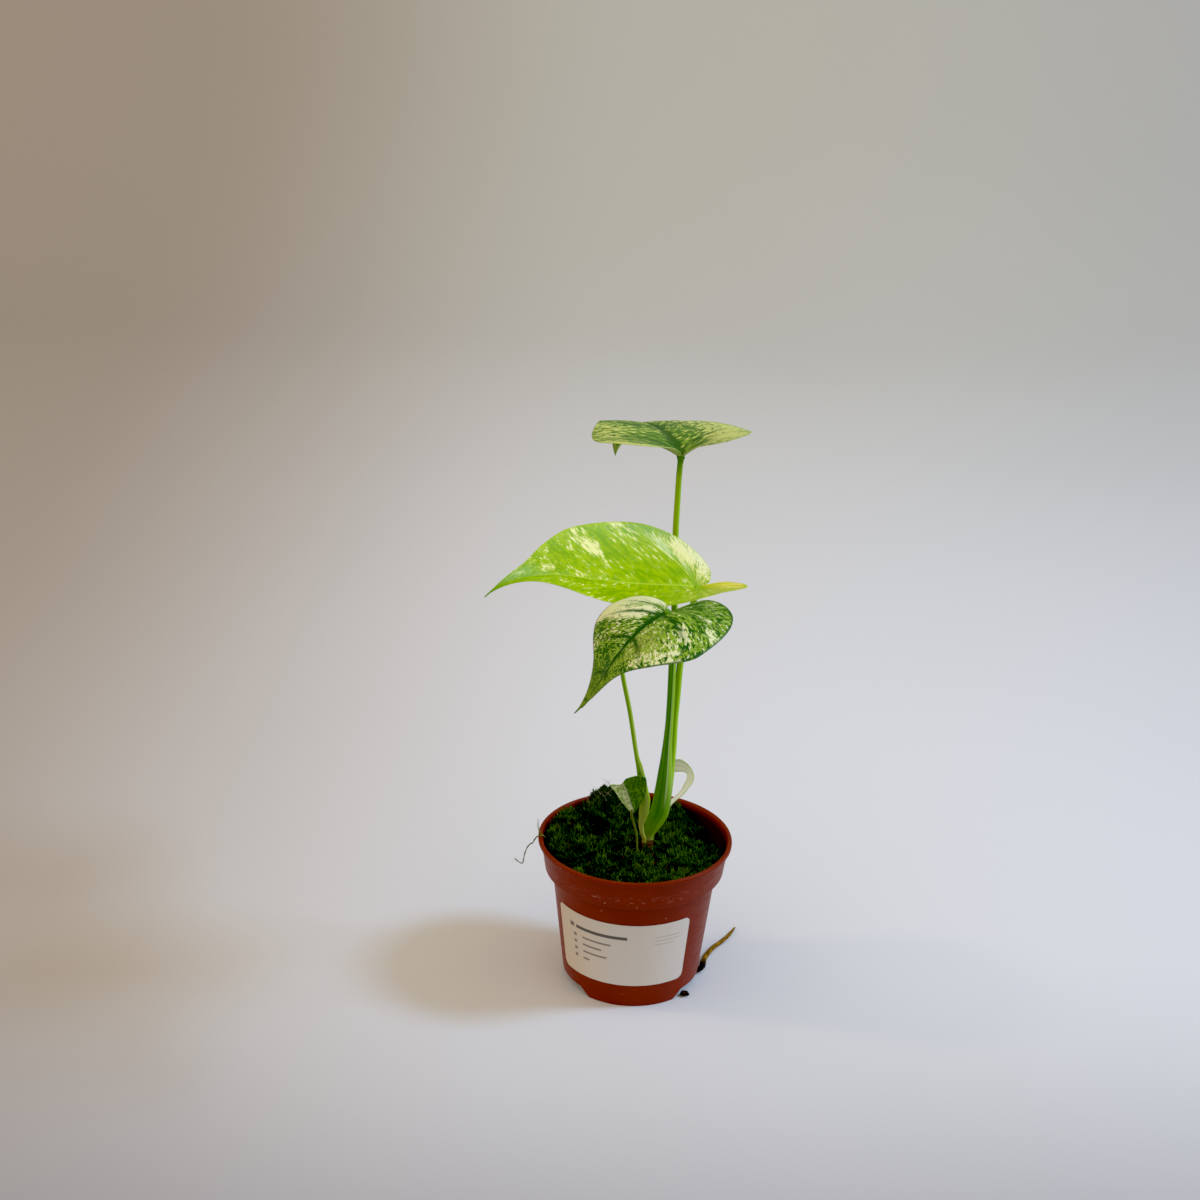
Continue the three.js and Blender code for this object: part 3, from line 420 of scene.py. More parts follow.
class Finish:
    """A material whose nodes are added one call at a time, with a Principled surface at its end. Colours
    are hexadecimal sRGB codes or the outputs of nodes."""

    def __init__(self, name):
        self.material = bpy.data.materials.new(name)
        self.material.use_nodes = True
        self.tree = self.material.node_tree
        self.tree.nodes.clear()
        self.surface = self.tree.nodes.new("ShaderNodeBsdfPrincipled")
        output = self.tree.nodes.new("ShaderNodeOutputMaterial")
        self.tree.links.new(self.surface.outputs[0], output.inputs["Surface"])

    def node(self, kind, inputs=(), output=0, **settings):
        """Adds a node and gives one of its outputs. Its settings come first, then its inputs, by place or
        name."""
        node = self.tree.nodes.new("ShaderNode" + kind)
        for key, value in settings.items():
            setattr(node, key, value)
        for key, value in inputs.items() if isinstance(inputs, dict) else enumerate(inputs):
            self.join(node.inputs[key], value)
        return Value(self, node.outputs[output])

    def join(self, socket, value):
        """Links a node's output to a socket, or sets a colour, number or vector on the socket itself."""
        if isinstance(value, Value):
            self.tree.links.new(value.socket, socket)
        else:
            socket.default_value = (*tone(value), 1) if isinstance(value, str) else value

    def set(self, **inputs):
        """Sets the surface's sockets, with an underscore for a space in a name, and gives the material."""
        for key, value in inputs.items():
            self.join(self.surface.inputs[key.replace("_", " ")], value)
        return self.material

    def mark(self):
        """The three numbers of the mark, as a vector and one by one."""
        vector = self.node("Attribute", output="Vector", attribute_name="mark")
        return (vector, *self.parts(vector))

    def parts(self, vector):
        split = self.node("SeparateXYZ", [vector])
        return [Value(self, socket) for socket in split.socket.node.outputs]

    def place(self):
        return self.node("TexCoord", output="Object")

    def millimetres(self):
        return self.scaled(self.place(), (1 / MM,) * 3)

    def vector(self, x, y, z):
        return self.node("CombineXYZ", [x, y, z])

    def scaled(self, vector, scale):
        return self.node("VectorMath", [vector, scale], operation="MULTIPLY")

    def noise(self, vector, scale=1.0, detail=2.0, roughness=0.5):
        inputs = {"Vector": vector, "Scale": scale, "Detail": detail, "Roughness": roughness}
        return self.node("TexNoise", inputs)

    def cells(self, vector, scale):
        return self.node("TexVoronoi", {"Vector": vector, "Scale": scale}, output="Distance")

    def ramp(self, value, low, high):
        """0 below low, 1 above high and smooth between, the other way round where low is the larger."""
        return self.node("MapRange", [value, low, high, 0, 1], interpolation_type="SMOOTHSTEP")

    def near(self, value, centre, reach):
        """1 where value is centre, falling smoothly to 0 at reach from it."""
        return self.ramp((value - centre).math("ABSOLUTE"), reach, 0)

    def mix(self, factor, a, b):
        """Colour a where factor is 0 and colour b where it is 1."""
        return self.node("Mix", {0: factor, 6: a, 7: b}, output=2, data_type="RGBA", clamp_factor=True)

    def layered(self, colour, *layers):
        """A colour covered by layers in turn, each a mask and the colour that shows where the mask is 1."""
        for mask, cover in layers:
            colour = self.mix(mask, colour, cover)
        return colour

    def bump(self, height, distance):
        """A normal from height, where 1 stands distance millimetres proud."""
        return self.node("Bump", {"Strength": 1, "Distance": distance * MM, "Height": height})


def tone(code):
    """The linear colour of a hexadecimal sRGB code."""
    srgb = np.array([int(code[k:k + 2], 16) / 255 for k in (0, 2, 4)])
    return tuple(np.where(srgb < 0.04045, srgb / 12.92, ((srgb + 0.055) / 1.055) ** 2.4))


# Blades

def midrib(blade, s):
    """The midrib s lengths from the junction, in the blade's own axes: the point, and the unit vectors to
    the left and up. The point is the sum of small steps along the local direction, which turns down by bend
    and sideways by swing, both polynomials in s."""
    linear, square, fourth = blade["bend"]

    def direction(q):
        ahead = np.maximum(q, 0)
        behind = np.minimum(q, 0)
        down = DEG * (linear * ahead + square * ahead**2 + fourth * ahead**4 + blade["lobe_bend"] * behind)
        turn = DEG * (blade["swing"][0] * ahead + blade["swing"][1] * ahead**2)
        return np.stack([np.cos(down) * np.cos(turn), np.cos(down) * np.sin(turn), -np.sin(down)], -1), turn

    steps = (np.arange(MIDRIB_STEPS) + 0.5) / MIDRIB_STEPS
    headings, _ = direction(s[..., None] * steps)
    point = headings.sum(-2) * (blade["length"] * s / MIDRIB_STEPS)[..., None]
    along, turn = direction(s)
    level = np.stack([-np.sin(turn), np.cos(turn), np.zeros_like(turn)], -1)
    upright = np.cross(along, level)
    roll = (DEG * blade["twist"] * s)[..., None]
    left = level * np.cos(roll) + upright * np.sin(roll)
    return point, left, np.cross(along, left)


def blade_axes(blade):
    """Rows are the blade's own x, y and z axes, turned to its heading, pitch and roll."""
    h, e, r = (blade[key] * DEG for key in ("heading", "pitch", "roll"))
    along = np.array([math.cos(e) * math.cos(h), math.cos(e) * math.sin(h), math.sin(e)])
    level = np.array([-math.sin(h), math.cos(h), 0])
    left = level * math.cos(r) + np.cross(along, level) * math.sin(r)
    return np.stack([along, left, np.cross(along, left)])


def blade_point(blade, half, x, y, lift=0.0):
    """Point of the blade's middle surface, with x in lengths and y in half widths. It stands off the midrib
    by a chord at the slope fold + arc, where arc is half of curl times y. The funnel sinks it by depth
    times exp(-distance / radius), and lift raises it."""
    point, left, up = midrib(blade, x)
    away = y * blade["half_width"][half]
    arc = DEG * blade["curl"][half] * y / 2
    slope = DEG * (blade["fold"][half] + blade["fold_gain"][half] * np.maximum(x, 0)) + arc
    chord = away * np.sinc(arc / math.pi)
    depth, radius = blade["funnel"]
    sink = depth * np.exp(-np.sqrt((x * blade["length"]) ** 2 + away**2 + 1) / radius)
    aside = HALF_SIDES[half] * chord * np.cos(slope)
    rise = chord * np.sin(slope) - sink + lift
    own = point + left * aside[..., None] + up * rise[..., None]
    own[..., 2] += depth * math.exp(-1 / radius)
    return own @ blade_axes(blade) + np.array(blade["junction"])


def margin_and_foot(blade, u):
    """For the line u of a blade, how far along and across its margin point is, and how far along its foot
    is."""
    edge = through([(*point, 0) for point in blade["outline"]], u)
    return edge[..., 0], edge[..., 1], np.maximum(0, edge[..., 0] - VEIN_LEAN * edge[..., 1])


def blade_half(blade, half):
    """The grid of one half: lines run from the midrib out and forward to the margin. A line's place between
    its foot and its margin point is v^VEIN_SWEEP along and v across. The margin waves by height v^3 sin(2
    pi count u + phase), and the blade between the side veins swells by a share of RELIEF that fades to
    midrib and margin."""
    u = np.linspace(0, 1, BLADE_LINES + 1)[:, None]
    v = np.linspace(0, 1, BLADE_ROWS + 1)[None]
    edge_x, edge_y, foot = margin_and_foot(blade, u)
    reach_x = np.where(edge_x < 0, edge_x * blade["lobe"][half], edge_x)
    narrowing = blade["taper"][half] * smooth(edge_x, 0.25, 0.75)
    height, count, phase = blade["wave"]
    wave = height * v**3 * np.sin(2 * math.pi * count * u + phase + half) * np.sin(math.pi * u)
    swell = RELIEF * np.abs(np.sin(math.pi * SIDE_VEINS * u)) ** 0.7
    swell = swell * smooth(v, 0, 0.2) * (1 - smooth(v, 0.6, 1))
    x = foot + (reach_x - foot) * v**VEIN_SWEEP
    y = edge_y * (1 - narrowing) * v
    gully = -MIDRIB_GULLY * np.exp(-((y * blade["half_width"][half]) / 1.1) ** 2) * smooth(u, 0.0, 0.25)
    return blade_point(blade, half, x, y, wave + swell + gully), u, v


def surface_normals(grid):
    """Unit normals of a grid of points, from its differences along both ways."""
    return unit(np.cross(np.gradient(grid, axis=0), np.gradient(grid, axis=1)))


def blade_form(blade):
    """Both halves as one closed sheet, thinner to the margin, with the midrib that stands out below and the
    knee that meets the stalk. The mark is the line and the place along it, both from 0 to 1, the latter
    negative on the right half, and 0 above, UNDERSIDE below, RIB or KNEE_PART."""
    form = Form()
    faces = grid_faces(BLADE_LINES + 1, BLADE_ROWS + 1)
    for half, side in enumerate(HALF_SIDES):
        grid, u, v = blade_half(blade, half)
        # the first line is drawn in to the junction, where its normal is that of the next line
        normal = surface_normals(grid) * side
        normal[:2], normal[-2:] = normal[2], normal[-3]
        # both halves share the midrib's upward normal
        normal[:, :1] = midrib(blade, margin_and_foot(blade, u)[2])[2] @ blade_axes(blade)
        thickness = BLADE_THICKNESS + (MARGIN_THICKNESS - BLADE_THICKNESS) * smooth(v, 0.1, 1)
        offset = normal * (thickness / 2)[..., None]
        above, below = grid + offset, grid - offset
        form.add(above, faces, mark=(u, v * side, 0))
        form.add(below, faces, mark=(u, v * side, UNDERSIDE))
        outermost = grid[:, -1] + MARGIN_ROUNDING * unit(grid[:, -1] - grid[:, -2])
        rim = np.stack([above[:, -1], outermost, below[:, -1]], 1)
        form.add(rim, grid_faces(BLADE_LINES + 1, 3), mark=(u, side, 0))
        form.add(np.stack([above[0], below[0]]), grid_faces(2, BLADE_ROWS + 1), mark=(0, v * side, 0))
    rib_and_knee(form, blade)
    return form


def stalk_direction(blade):
    last = np.array(PETIOLES[blade["stalk"]]["path"][-1])
    return unit(np.array(blade["junction"]) - last)


def rib_and_knee(form, blade):
    """The midrib below the blade, whose radius falls along it, and the knee: a short stub that widens to
    the blade and is rounded off just above it."""
    s = 0.94 * np.linspace(0, 1, 25)
    below = midrib(blade, s)[2] @ blade_axes(blade)
    radius = MIDRIB_RADIUS * (1 - 0.72 * s / s[-1])
    line = blade_point(blade, 0, s, np.zeros_like(s), -MIDRIB_GULLY)
    line = line - below * (0.95 * radius)[:, None]
    tube(form, line, lambda t: valued(radius, t), steps=90, sides=14, side=(0.31, 0.22, 0.93), part=RIB)
    end = np.array(blade["junction"], float)
    knee = np.stack([end - stalk_direction(blade) * k for k in (KNEE + 0.5, KNEE * 0.6, 0, -0.9)])
    tube(form, knee, lambda t: KNEE_RADIUS * valued(KNEE_SWELL, t), steps=20, sides=32, part=KNEE_PART)


# Stalks, bracts, moss and root

def stalk_path(name):
    """The points of a stalk from its seat to just below its blade's knee."""
    blade = next(b for b in BLADES.values() if b["stalk"] == name)
    end = np.array(blade["junction"]) - stalk_direction(blade) * (KNEE + 0.05)
    return (*PETIOLES[name]["path"], tuple(end))


def nearest(points, path, samples=400):
    """For each point, the nearest of many samples of a smooth path: its place from 0 to 1, the sample
    itself and its distance."""
    t = np.linspace(0, 1, samples)
    line = through(path, t)
    distance = np.linalg.norm(points[..., None, :] - line, axis=-1)
    k = distance.argmin(-1)
    return t[k], line[k], distance.min(-1)


def hollowed(rings):
    """The rings of the top leaf's stalk hollowed where the middle leaf's stalk leaves its sheath: points
    closer to that stalk than its radius and HOLE_GAP are pushed straight away from it. Also how near the
    edge of that hollow each point is."""
    place, axis, distance = nearest(rings, stalk_path("petiole_middle"))
    radius = valued(PETIOLES["petiole_middle"]["width"], place) + HOLE_GAP
    pushed = axis + unit(rings - axis) * np.maximum(distance, radius)[..., None]
    beside = (place > 0) & (place < 1)
    nearness = np.where(place < 1, np.exp(-np.maximum(distance - radius, 0) / 0.7), 0)
    return np.where(beside[..., None], pushed, rings), nearness


def stalk_form(name, steps, sides):
    """A stalk with fine ridges along it. The mark is the place along, the place round, and how near the
    edge of the sheath's hollow a point is."""
    form = Form()
    t = np.linspace(0, 1, steps + 1)
    turn = circle(sides)
    ridges = 1 + 0.012 * np.sin(9 * turn) + 0.008 * np.sin(17 * turn + 1)
    width, depth = (valued(PETIOLES[name][key], t)[:, None] * ridges for key in ("width", "depth"))
    centre, rings = sections(stalk_path(name), t, width, depth, sides)
    rings, hollow = hollowed(rings) if name == "petiole_top" else (rings, 0)
    closed_tube(form, centre, rings, (t[:, None], turn / (2 * math.pi), hollow))
    return form


def folded_bract_form():
    """A cupped sheet: from the middle to the outline the point is middle + v (edge - middle), pushed back
    by BRACT_CUP (1 - v^2), and forward in a ridge along the crease. The mark holds the distance from the
    crease, and RIB on the thread."""
    form = Form()
    columns, rows = 132, 26
    v = np.linspace(0, 1, rows)[:, None]
    edge = through(BRACT_OUTLINE, np.linspace(0, 1, columns, endpoint=False), closed=True)
    middle = np.mean(BRACT_OUTLINE, 0)
    grid = middle + v[..., None] * (edge - middle)
    (x0, z0), (x1, z1) = BRACT_CREASE
    length = math.hypot(x1 - x0, z1 - z0)
    crease = ((grid[..., 0] - x0) * (z1 - z0) - (grid[..., 2] - z0) * (x1 - x0)) / length
    grid[..., 1] += BRACT_CUP * (1 - v**2) - 0.9 * np.exp(-((crease / 1.3) ** 2)) * (1 - v**4)
    grid[..., 1] += 0.22 * np.sin(2.1 * crease) * v * (1 - v**6)
    normal = unit(np.cross(np.gradient(grid, axis=0), np.roll(grid, -1, 1) - np.roll(grid, 1, 1)))
    normal[0] = normal[1].mean(0)
    offset = unit(normal) * (0.25 - 0.1 * v**2)[..., None]
    for layer in (grid + offset, grid - offset):
        form.add(layer, grid_faces(rows, columns, wrap=True), mark=(crease, 0, 0))
    rim = np.stack([(grid + offset)[-1], (grid - offset)[-1]])
    form.add(rim, grid_faces(2, columns, wrap=True), mark=(crease[-1], 0, 0))
    tube(form, BRACT_THREAD, lambda t: 0.62 - 0.2 * t, steps=60, sides=12, part=RIB)
    return form


def curled_bract_form():
    """A ribbon ruled between two smooth edges, bowed across by 0.8 (1 - s^2) and thin at its edges. The
    mark is the place along and the place across."""
    form = Form()
    t = np.linspace(0, 1, 131)[:, None]
    s = np.linspace(-1, 1, 17)
    outer, inner = (through(edge, t) for edge in CURL_EDGES)
    share = ((s + 1) / 2)[:, None]
    grid = outer * (1 - share) + inner * share
    grid[..., 1] += (0.8 * (1 - s**2) + 0.12 * np.sin(9 * s)) * t
    offset = surface_normals(grid) * (0.24 - 0.12 * s**4)[:, None]
    closed_sheet(form, grid + offset, grid - offset, (t, s, 0))
    return form


def bell(x, y, mound):
    """height exp(-d^2 / (2 spread^2)), where d is the distance from the mound's middle."""
    square = (x - mound["x"]) ** 2 + (y - mound["y"]) ** 2
    return mound["height"] * np.exp(-square / (2 * mound["spread"] ** 2))


def moss_height(x, y):
    """The level plus three crossed waves, a bell-shaped hump at the back left, low banks round it, at the
    left rim and at the back right, and a bell-shaped dip at the right."""
    tufts = 1.1 * np.sin(0.62 * x + 1.3) * np.cos(0.55 * y - 0.4)
    tufts = tufts + 0.8 * np.sin(0.93 * x - 0.71 * y) + 0.6 * np.cos(0.35 * x + 1.12 * y + 2)
    for mound in (MOSS_HUMP, MOSS_DIP, *MOSS_BANKS):
        tufts = tufts + bell(x, y, mound)
    return np.maximum(MOSS_LEVEL + tufts, MOSS_BOTTOM + MOSS_LEAST)


def moss_reach(z):
    return collar_radius(np.minimum(z, LIP_Z)) - WALL - 0.4


def clumps(x, y):
    """Rounded clumps a few millimetres wide: the largest of bells round seeded points, from 0 to 1."""
    draw = np.random.default_rng(7)
    centres = draw.uniform(-42, 42, (300, 2))
    widths = draw.uniform(2.0, 4.2, 300)
    square = (np.ravel(x)[:, None] - centres[:, 0]) ** 2 + (np.ravel(y)[:, None] - centres[:, 1]) ** 2
    return np.exp(-square / (2 * widths**2)).max(1).reshape(np.shape(x))


def inside_pot(points):
    """Points drawn in towards the pot's axis where they would pass through its inner wall."""
    radius = np.hypot(points[..., 0], points[..., 1])
    share = np.minimum(1, (moss_reach(points[..., 2]) + 0.2) / np.maximum(radius, 1e-6))
    points[..., :2] *= share[..., None]
    return points


def moss_form():
    """The carpet, its sprigs and a few loose hairs on its hump. The mark is the height within a sprig, a
    seeded shade, and the clump, or HAIR on the hairs."""
    form = Form()
    moss_bed(form)
    draw = np.random.default_rng(11)
    moss_sprigs(form, draw)
    for _ in range(MOSS_HAIRS):
        x, y = MOSS_HUMP["x"] + draw.normal(0, 4), MOSS_HUMP["y"] + draw.normal(-2, 2.5)
        base = np.array([x, y, moss_height(x, y) - 2])
        turn = draw.uniform(0, 2 * math.pi)
        out = np.array([math.cos(turn), 0.5 * math.sin(turn), 0])
        tip = base + out * draw.uniform(4, 9) + [0, 0, draw.uniform(3, 7)]
        path = bowed(base, tip, [0, 0, 1.5])
        tube(form, path, lambda t: 0.09 - 0.05 * t, steps=8, sides=4, side=(0, 1, 0.3), part=HAIR)
    return form


def moss_bed(form):
    """A closed disc whose top follows moss_height, lowered and lumpy by the clumps."""
    rings, sides = 60, 180
    turn = circle(sides)
    share = np.linspace(0, 1, rings)[:, None]
    reach = moss_reach(MOSS_LEVEL)
    x, y = share * reach * np.cos(turn), share * reach * np.sin(turn)
    z = moss_height(x, y) - 2.6 + CLUMP_RISE * clumps(x, y)
    top = np.stack([x, y, np.maximum(z, MOSS_BOTTOM + 0.4)], -1)
    low = moss_reach(MOSS_BOTTOM)
    foot = np.stack(np.broadcast_arrays(low * np.cos(turn), low * np.sin(turn), MOSS_BOTTOM), -1)
    centre = np.broadcast_to([0, 0, MOSS_BOTTOM], foot.shape)
    body = np.concatenate([top, foot[None], centre[None]])
    # the mark's height 0 and clump 0.2 make moss_finish colour the bed dark: painted shade between the
    # sprigs
    form.add(body, grid_faces(rings + 2, sides, wrap=True), mark=(0, 0.3, 0.2))


def moss_sprigs(form, draw):
    """Sprigs with a ring of three points at each of SPRIG_PLACES, from a seeded root point along a line
    that leans down the side of its clump and bends over with the square of the place along. They are
    shorter on the hump."""
    count = MOSS_SPRIGS
    radius = moss_reach(MOSS_LEVEL) * np.sqrt(draw.uniform(0, 1, count))
    angle = draw.uniform(0, 2 * math.pi, count)
    x, y = radius * np.cos(angle), radius * np.sin(angle)
    clump = clumps(x, y)
    root = np.stack([x, y, moss_height(x, y) - 3.0 + CLUMP_RISE * clump], -1)
    step = 0.2
    falls = clumps(x - step, y) - clumps(x + step, y), clumps(x, y - step) - clumps(x, y + step)
    lean = 0.35 * (draw.uniform(0.1, 0.6, count) + 1.3 * (1 - clump))
    way = np.arctan2(falls[1], falls[0]) + draw.normal(0, 0.7, count)
    hump = bell(x, y, {**MOSS_HUMP, "height": 1})
    length = draw.uniform(1.3, 3.0, count) * (0.6 + 0.6 * clump) * (1 - 0.5 * hump)
    flat = np.stack([np.cos(way), np.sin(way), np.zeros(count)], -1)
    up = np.array([0.0, 0.0, 1.0])
    rise = unit(up + flat * lean[:, None])
    t = np.array(SPRIG_PLACES)
    line = root[:, None] + (length[:, None] * t)[..., None] * rise[:, None]
    line = line + ((lean * length)[:, None] * t**2)[..., None] * (flat - 0.5 * up)[:, None]
    line = inside_pot(line)
    thick = draw.uniform(0.2, 0.42, count)[:, None] * np.array(SPRIG_TAPER)
    spin = way[:, None] + circle(3)
    across = np.cross(flat, up)
    third = unit(up - rise * 0.5)
    ring = np.cos(spin)[..., None] * across[:, None] + np.sin(spin)[..., None] * third[:, None]
    points = line[:, :, None] + thick[..., None, None] * ring[:, None]
    start = (np.arange(count) * 3 * len(t))[:, None, None]
    sides, caps = grid_faces(len(t), 3, wrap=True), np.array([[0, 2, 1], [9, 10, 11]])
    shade = draw.uniform(0, 1, count)
    form.add(points, (sides + start).reshape(-1, 4), (caps + start).reshape(-1, 3),
             mark=(t[:, None], shade[:, None, None], clump[:, None, None]))


def rootstock_form():
    """The short stem with rings along it, four feeder roots hidden in the mix, the rough root on the
    ground, and grains of soil on it where it leaves the pot. The mark holds the place along, the place
    round, and 0 on the stem, 1 on feeders and 2 outside."""
    form = Form()
    x, y = STEM["x"], STEM["y"]

    def ringed(half, lower):
        half_sizes = (half, half, lower, 1.6)
        return lambda t: valued(half_sizes, t) * (1 + 0.03 * np.sin(2 * math.pi * STEM_RINGS * t)) * 0.98

    def rough_radius(t):
        t, turn = t[:, None], circle(ROOT_SIDES)
        rough = 1 + 0.05 * np.sin(70 * t + 2 * np.sin(3 * turn)) + 0.05 * np.sin(5 * turn + 9 * t)
        return valued(OUTER_ROOT_RADII, t) * (1.06 - 0.12 * t) * rough

    stem = ((x, y, STEM["top"]), (x, y, 64), (x - 0.2, y, 56), (x - 0.2, y - 0.2, STEM["foot"]))
    tube(form, stem, ringed(STEM["half_width"], 2.5), ringed(STEM["half_depth"], 2.8), steps=110, sides=40)
    for k in range(FEEDER_ROOTS):
        turn = (40 + 82 * k) * DEG
        reach, depth = (0, 8, 16, 21 + k % 2 * 3), (50, 46, 36, 20 - 3 * (k % 2))
        path = [(x - 0.2 + r * math.cos(turn), y + r * math.sin(turn), z) for r, z in zip(reach, depth)]
        tube(form, path, lambda t: 1.1 - 0.6 * t, steps=30, sides=10, side=(0, 0, 1), part=1)
    tube(form, OUTER_ROOT, rough_radius, steps=260, sides=ROOT_SIDES, side=(0, 0, 1), part=2)
    for k in range(ROOT_GRAINS):
        turn = 2.4 * k
        size = 0.8 + 0.35 * math.sin(3.1 * k)
        aside = [0.9 * math.cos(turn), 0.7 * math.sin(turn), 0.3 * math.sin(turn) - size]
        place = through(OUTER_ROOT, 0.5 + 0.012 * k) + aside
        lump(form, place, (size, size, 1.8 * size), 40 + k, (0.5, 0, 2))
    return form


def lump(form, place, size, seed, mark=(0, 0, 0)):
    """A lump of grains that stands at place: a ball stretched to its half width, half depth and height,
    whose radius varies by three seeded waves."""
    (x, y, z), (half_width, half_depth, height) = place, size
    a, b, c = np.random.default_rng(seed).uniform(0, 6.28, 3)
    turn = circle(LUMP_SIDES)
    rise = np.linspace(-math.pi / 2, math.pi / 2, LUMP_ROWS)[:, None]
    rough = 1 + 0.12 * np.sin(3 * turn + a) * np.cos(2 * rise)
    rough = rough + 0.09 * np.sin(6 * turn + 5 * rise + b) * np.cos(rise)
    rough = 0.82 * rough + 0.05 * np.sin(11 * turn + c) * np.cos(rise) * np.sin(7 * rise)
    points = np.stack([x + half_width * rough * np.cos(turn) * np.cos(rise),
                       y + half_depth * rough * np.sin(turn) * np.cos(rise),
                       np.maximum(z + height / 2 * (1 + rough * np.sin(rise)), 0.04)], -1)
    form.add(points, grid_faces(LUMP_ROWS, LUMP_SIDES, wrap=True), mark=mark)


def crumb_form():
    """A lump of mix: one large grain with smaller ones sunk into it all round."""
    form = Form()
    x, y, w, d, h = (CRUMB[key] for key in ("x", "y", "half_width", "half_depth", "height"))
    draw = np.random.default_rng(5)
    lump(form, (x, y, 0), (w * 0.8, d * 0.8, h * 0.95), 1)
    for k in range(CRUMB_GRAINS):
        turn = 2 * math.pi * k / CRUMB_GRAINS + draw.uniform(-0.2, 0.2)
        share, size = draw.uniform(0.35, 0.72), draw.uniform(0.2, 0.42)
        lift = draw.uniform(0, 1) * (1 - share) * h * 0.9
        place = (x + w * share * math.cos(turn), y + d * share * math.sin(turn), lift)
        lump(form, place, (w * size, d * size, h * size), 2 + k)
    return form


def strand_form():
    """A thin kinked stem with long hairs where it leaves the moss and short side leaflets all along."""
    form = Form()
    tube(form, STRAND, lambda t: 0.34 - 0.14 * t + 0.04 * np.sin(60 * t), steps=150, sides=10,
         side=(0, 1, 0))
    for k in range(STRAND_HAIRS):
        base = through(STRAND, 0.04 + 0.03 * k)
        tip = base + [-3 + k * 0.4, 1.2 * k - 1, 6 + k % 3]
        path = bowed(base, tip, [-0.8, 0, 0])
        tube(form, path, lambda t: 0.1 - 0.06 * t, steps=8, sides=4, side=(0, 1, 0.2))
    for k in range(STRAND_LEAFLETS):
        start = 0.06 + 0.058 * k
        base, ahead = through(STRAND, np.array([start, start + 0.015]))
        turn = 2.4 * k
        out = np.array([0.35 * math.cos(turn), 0.42 * math.sin(turn), 0.35 * math.cos(turn)])
        tip = base + out * 0.8 + (ahead - base) * 1.1
        path = bowed(base, tip, out * 0.1)
        tube(form, path, lambda t: 0.13 * (1.05 - t), steps=5, sides=5, side=(0, 1, 0.2))
    return form


# Pot, label and mix

def round_axis(radius, azimuth, z):
    """Points at a radius, azimuth and height round the pot's axis."""
    return np.stack(np.broadcast_arrays(radius * np.sin(azimuth), -radius * np.cos(azimuth), z), -1)


def rounded(corners, arc=6):
    """A profile of (radius, height, cut) corners. Each corner with a cut is replaced by the curve
    (1 - t)^2 A + 2 t (1 - t) C + t^2 B between the points A and B that lie cut before and after it."""
    points = np.array([c[:2] for c in corners], float)
    result = [points[0]]
    for k in range(1, len(corners) - 1):
        cut = corners[k][2]
        a = points[k] + unit(points[k - 1] - points[k]) * cut
        b = points[k] + unit(points[k + 1] - points[k]) * cut
        t = np.linspace(0, 1, arc)[:, None]
        result.extend((1 - t) ** 2 * a + 2 * t * (1 - t) * points[k] + t**2 * b)
    result.append(points[-1])
    return np.array(result)


def lathe(form, profile, sides, relief=0.0):
    """A profile of radius and height turned about the pot's axis, with relief added to the radius."""
    grid = round_axis(profile[:, :1] + relief, circle(sides), profile[:, 1:])
    form.add(grid, grid_faces(len(profile), sides, wrap=True))


def notch_form(azimuth):
    """The wedge that a drain notch takes out of the foot, wider at the ground than at its top."""
    form = Form()
    count = 14
    corners = []
    for z, spread in ((-1, NOTCH_ANGLES[0] / 2), (NOTCH_HEIGHT, NOTCH_ANGLES[1] / 2)):
        turn = (azimuth + np.linspace(-spread, spread, count)) * DEG
        corners += [round_axis(radius, turn, z) for radius in (NOTCH_INNER, BASE_RADIUS + 6)]
    low_in, low_out, high_in, high_out = corners
    loop = np.stack([low_in, low_out, high_out, high_in], 1)
    form.add(loop, grid_faces(count, 4, wrap=True))
    form.add(loop[[0, -1]], [[0, 1, 2, 3], [7, 6, 5, 4]])
    return form


def pot_mesh():
    """The pot's wall, collar, lip and base as one turned shell, less its three drain notches."""
    form = Form()
    lathe(form, rounded([
        (0, 0, 0), (BASE_RADIUS, 0, 0.5), (wall_radius(COLLAR_Z), COLLAR_Z, 0.25),
        (COLLAR_RADIUS, COLLAR_Z, 0.55), (collar_radius(LIP_Z), LIP_Z, 0.35), (LIP_RADIUS, LIP_Z, 0.6),
        (LIP_RADIUS, POT_HEIGHT, 0.75), (LIP_RADIUS - LIP_WIDTH, POT_HEIGHT, 0.7),
        (collar_radius(LIP_Z) - WALL, LIP_Z, 0.5), (collar_radius(MIX_TOP) - WALL, MIX_TOP, 0.3),
        (wall_radius(MIX_TOP) - WALL, MIX_TOP, 0.3), (wall_radius(PLATE) - WALL, PLATE, 0.9),
        (0, PLATE, 0)]), 288)
    shell = added("pot_shell", form.mesh("pot_shell"))
    wedges = []
    for azimuth in NOTCH_AZIMUTHS:
        wedges.append(added("wedge", notch_form(azimuth).mesh("wedge")))
        cut = shell.modifiers.new("notch", "BOOLEAN")
        cut.operation, cut.solver, cut.object = "DIFFERENCE", "EXACT", wedges[-1]
    mesh = bpy.data.meshes.new_from_object(shell.evaluated_get(bpy.context.evaluated_depsgraph_get()))
    for extra in (shell, *wedges):
        bpy.data.objects.remove(extra)
    mesh.materials.clear()
    return mesh


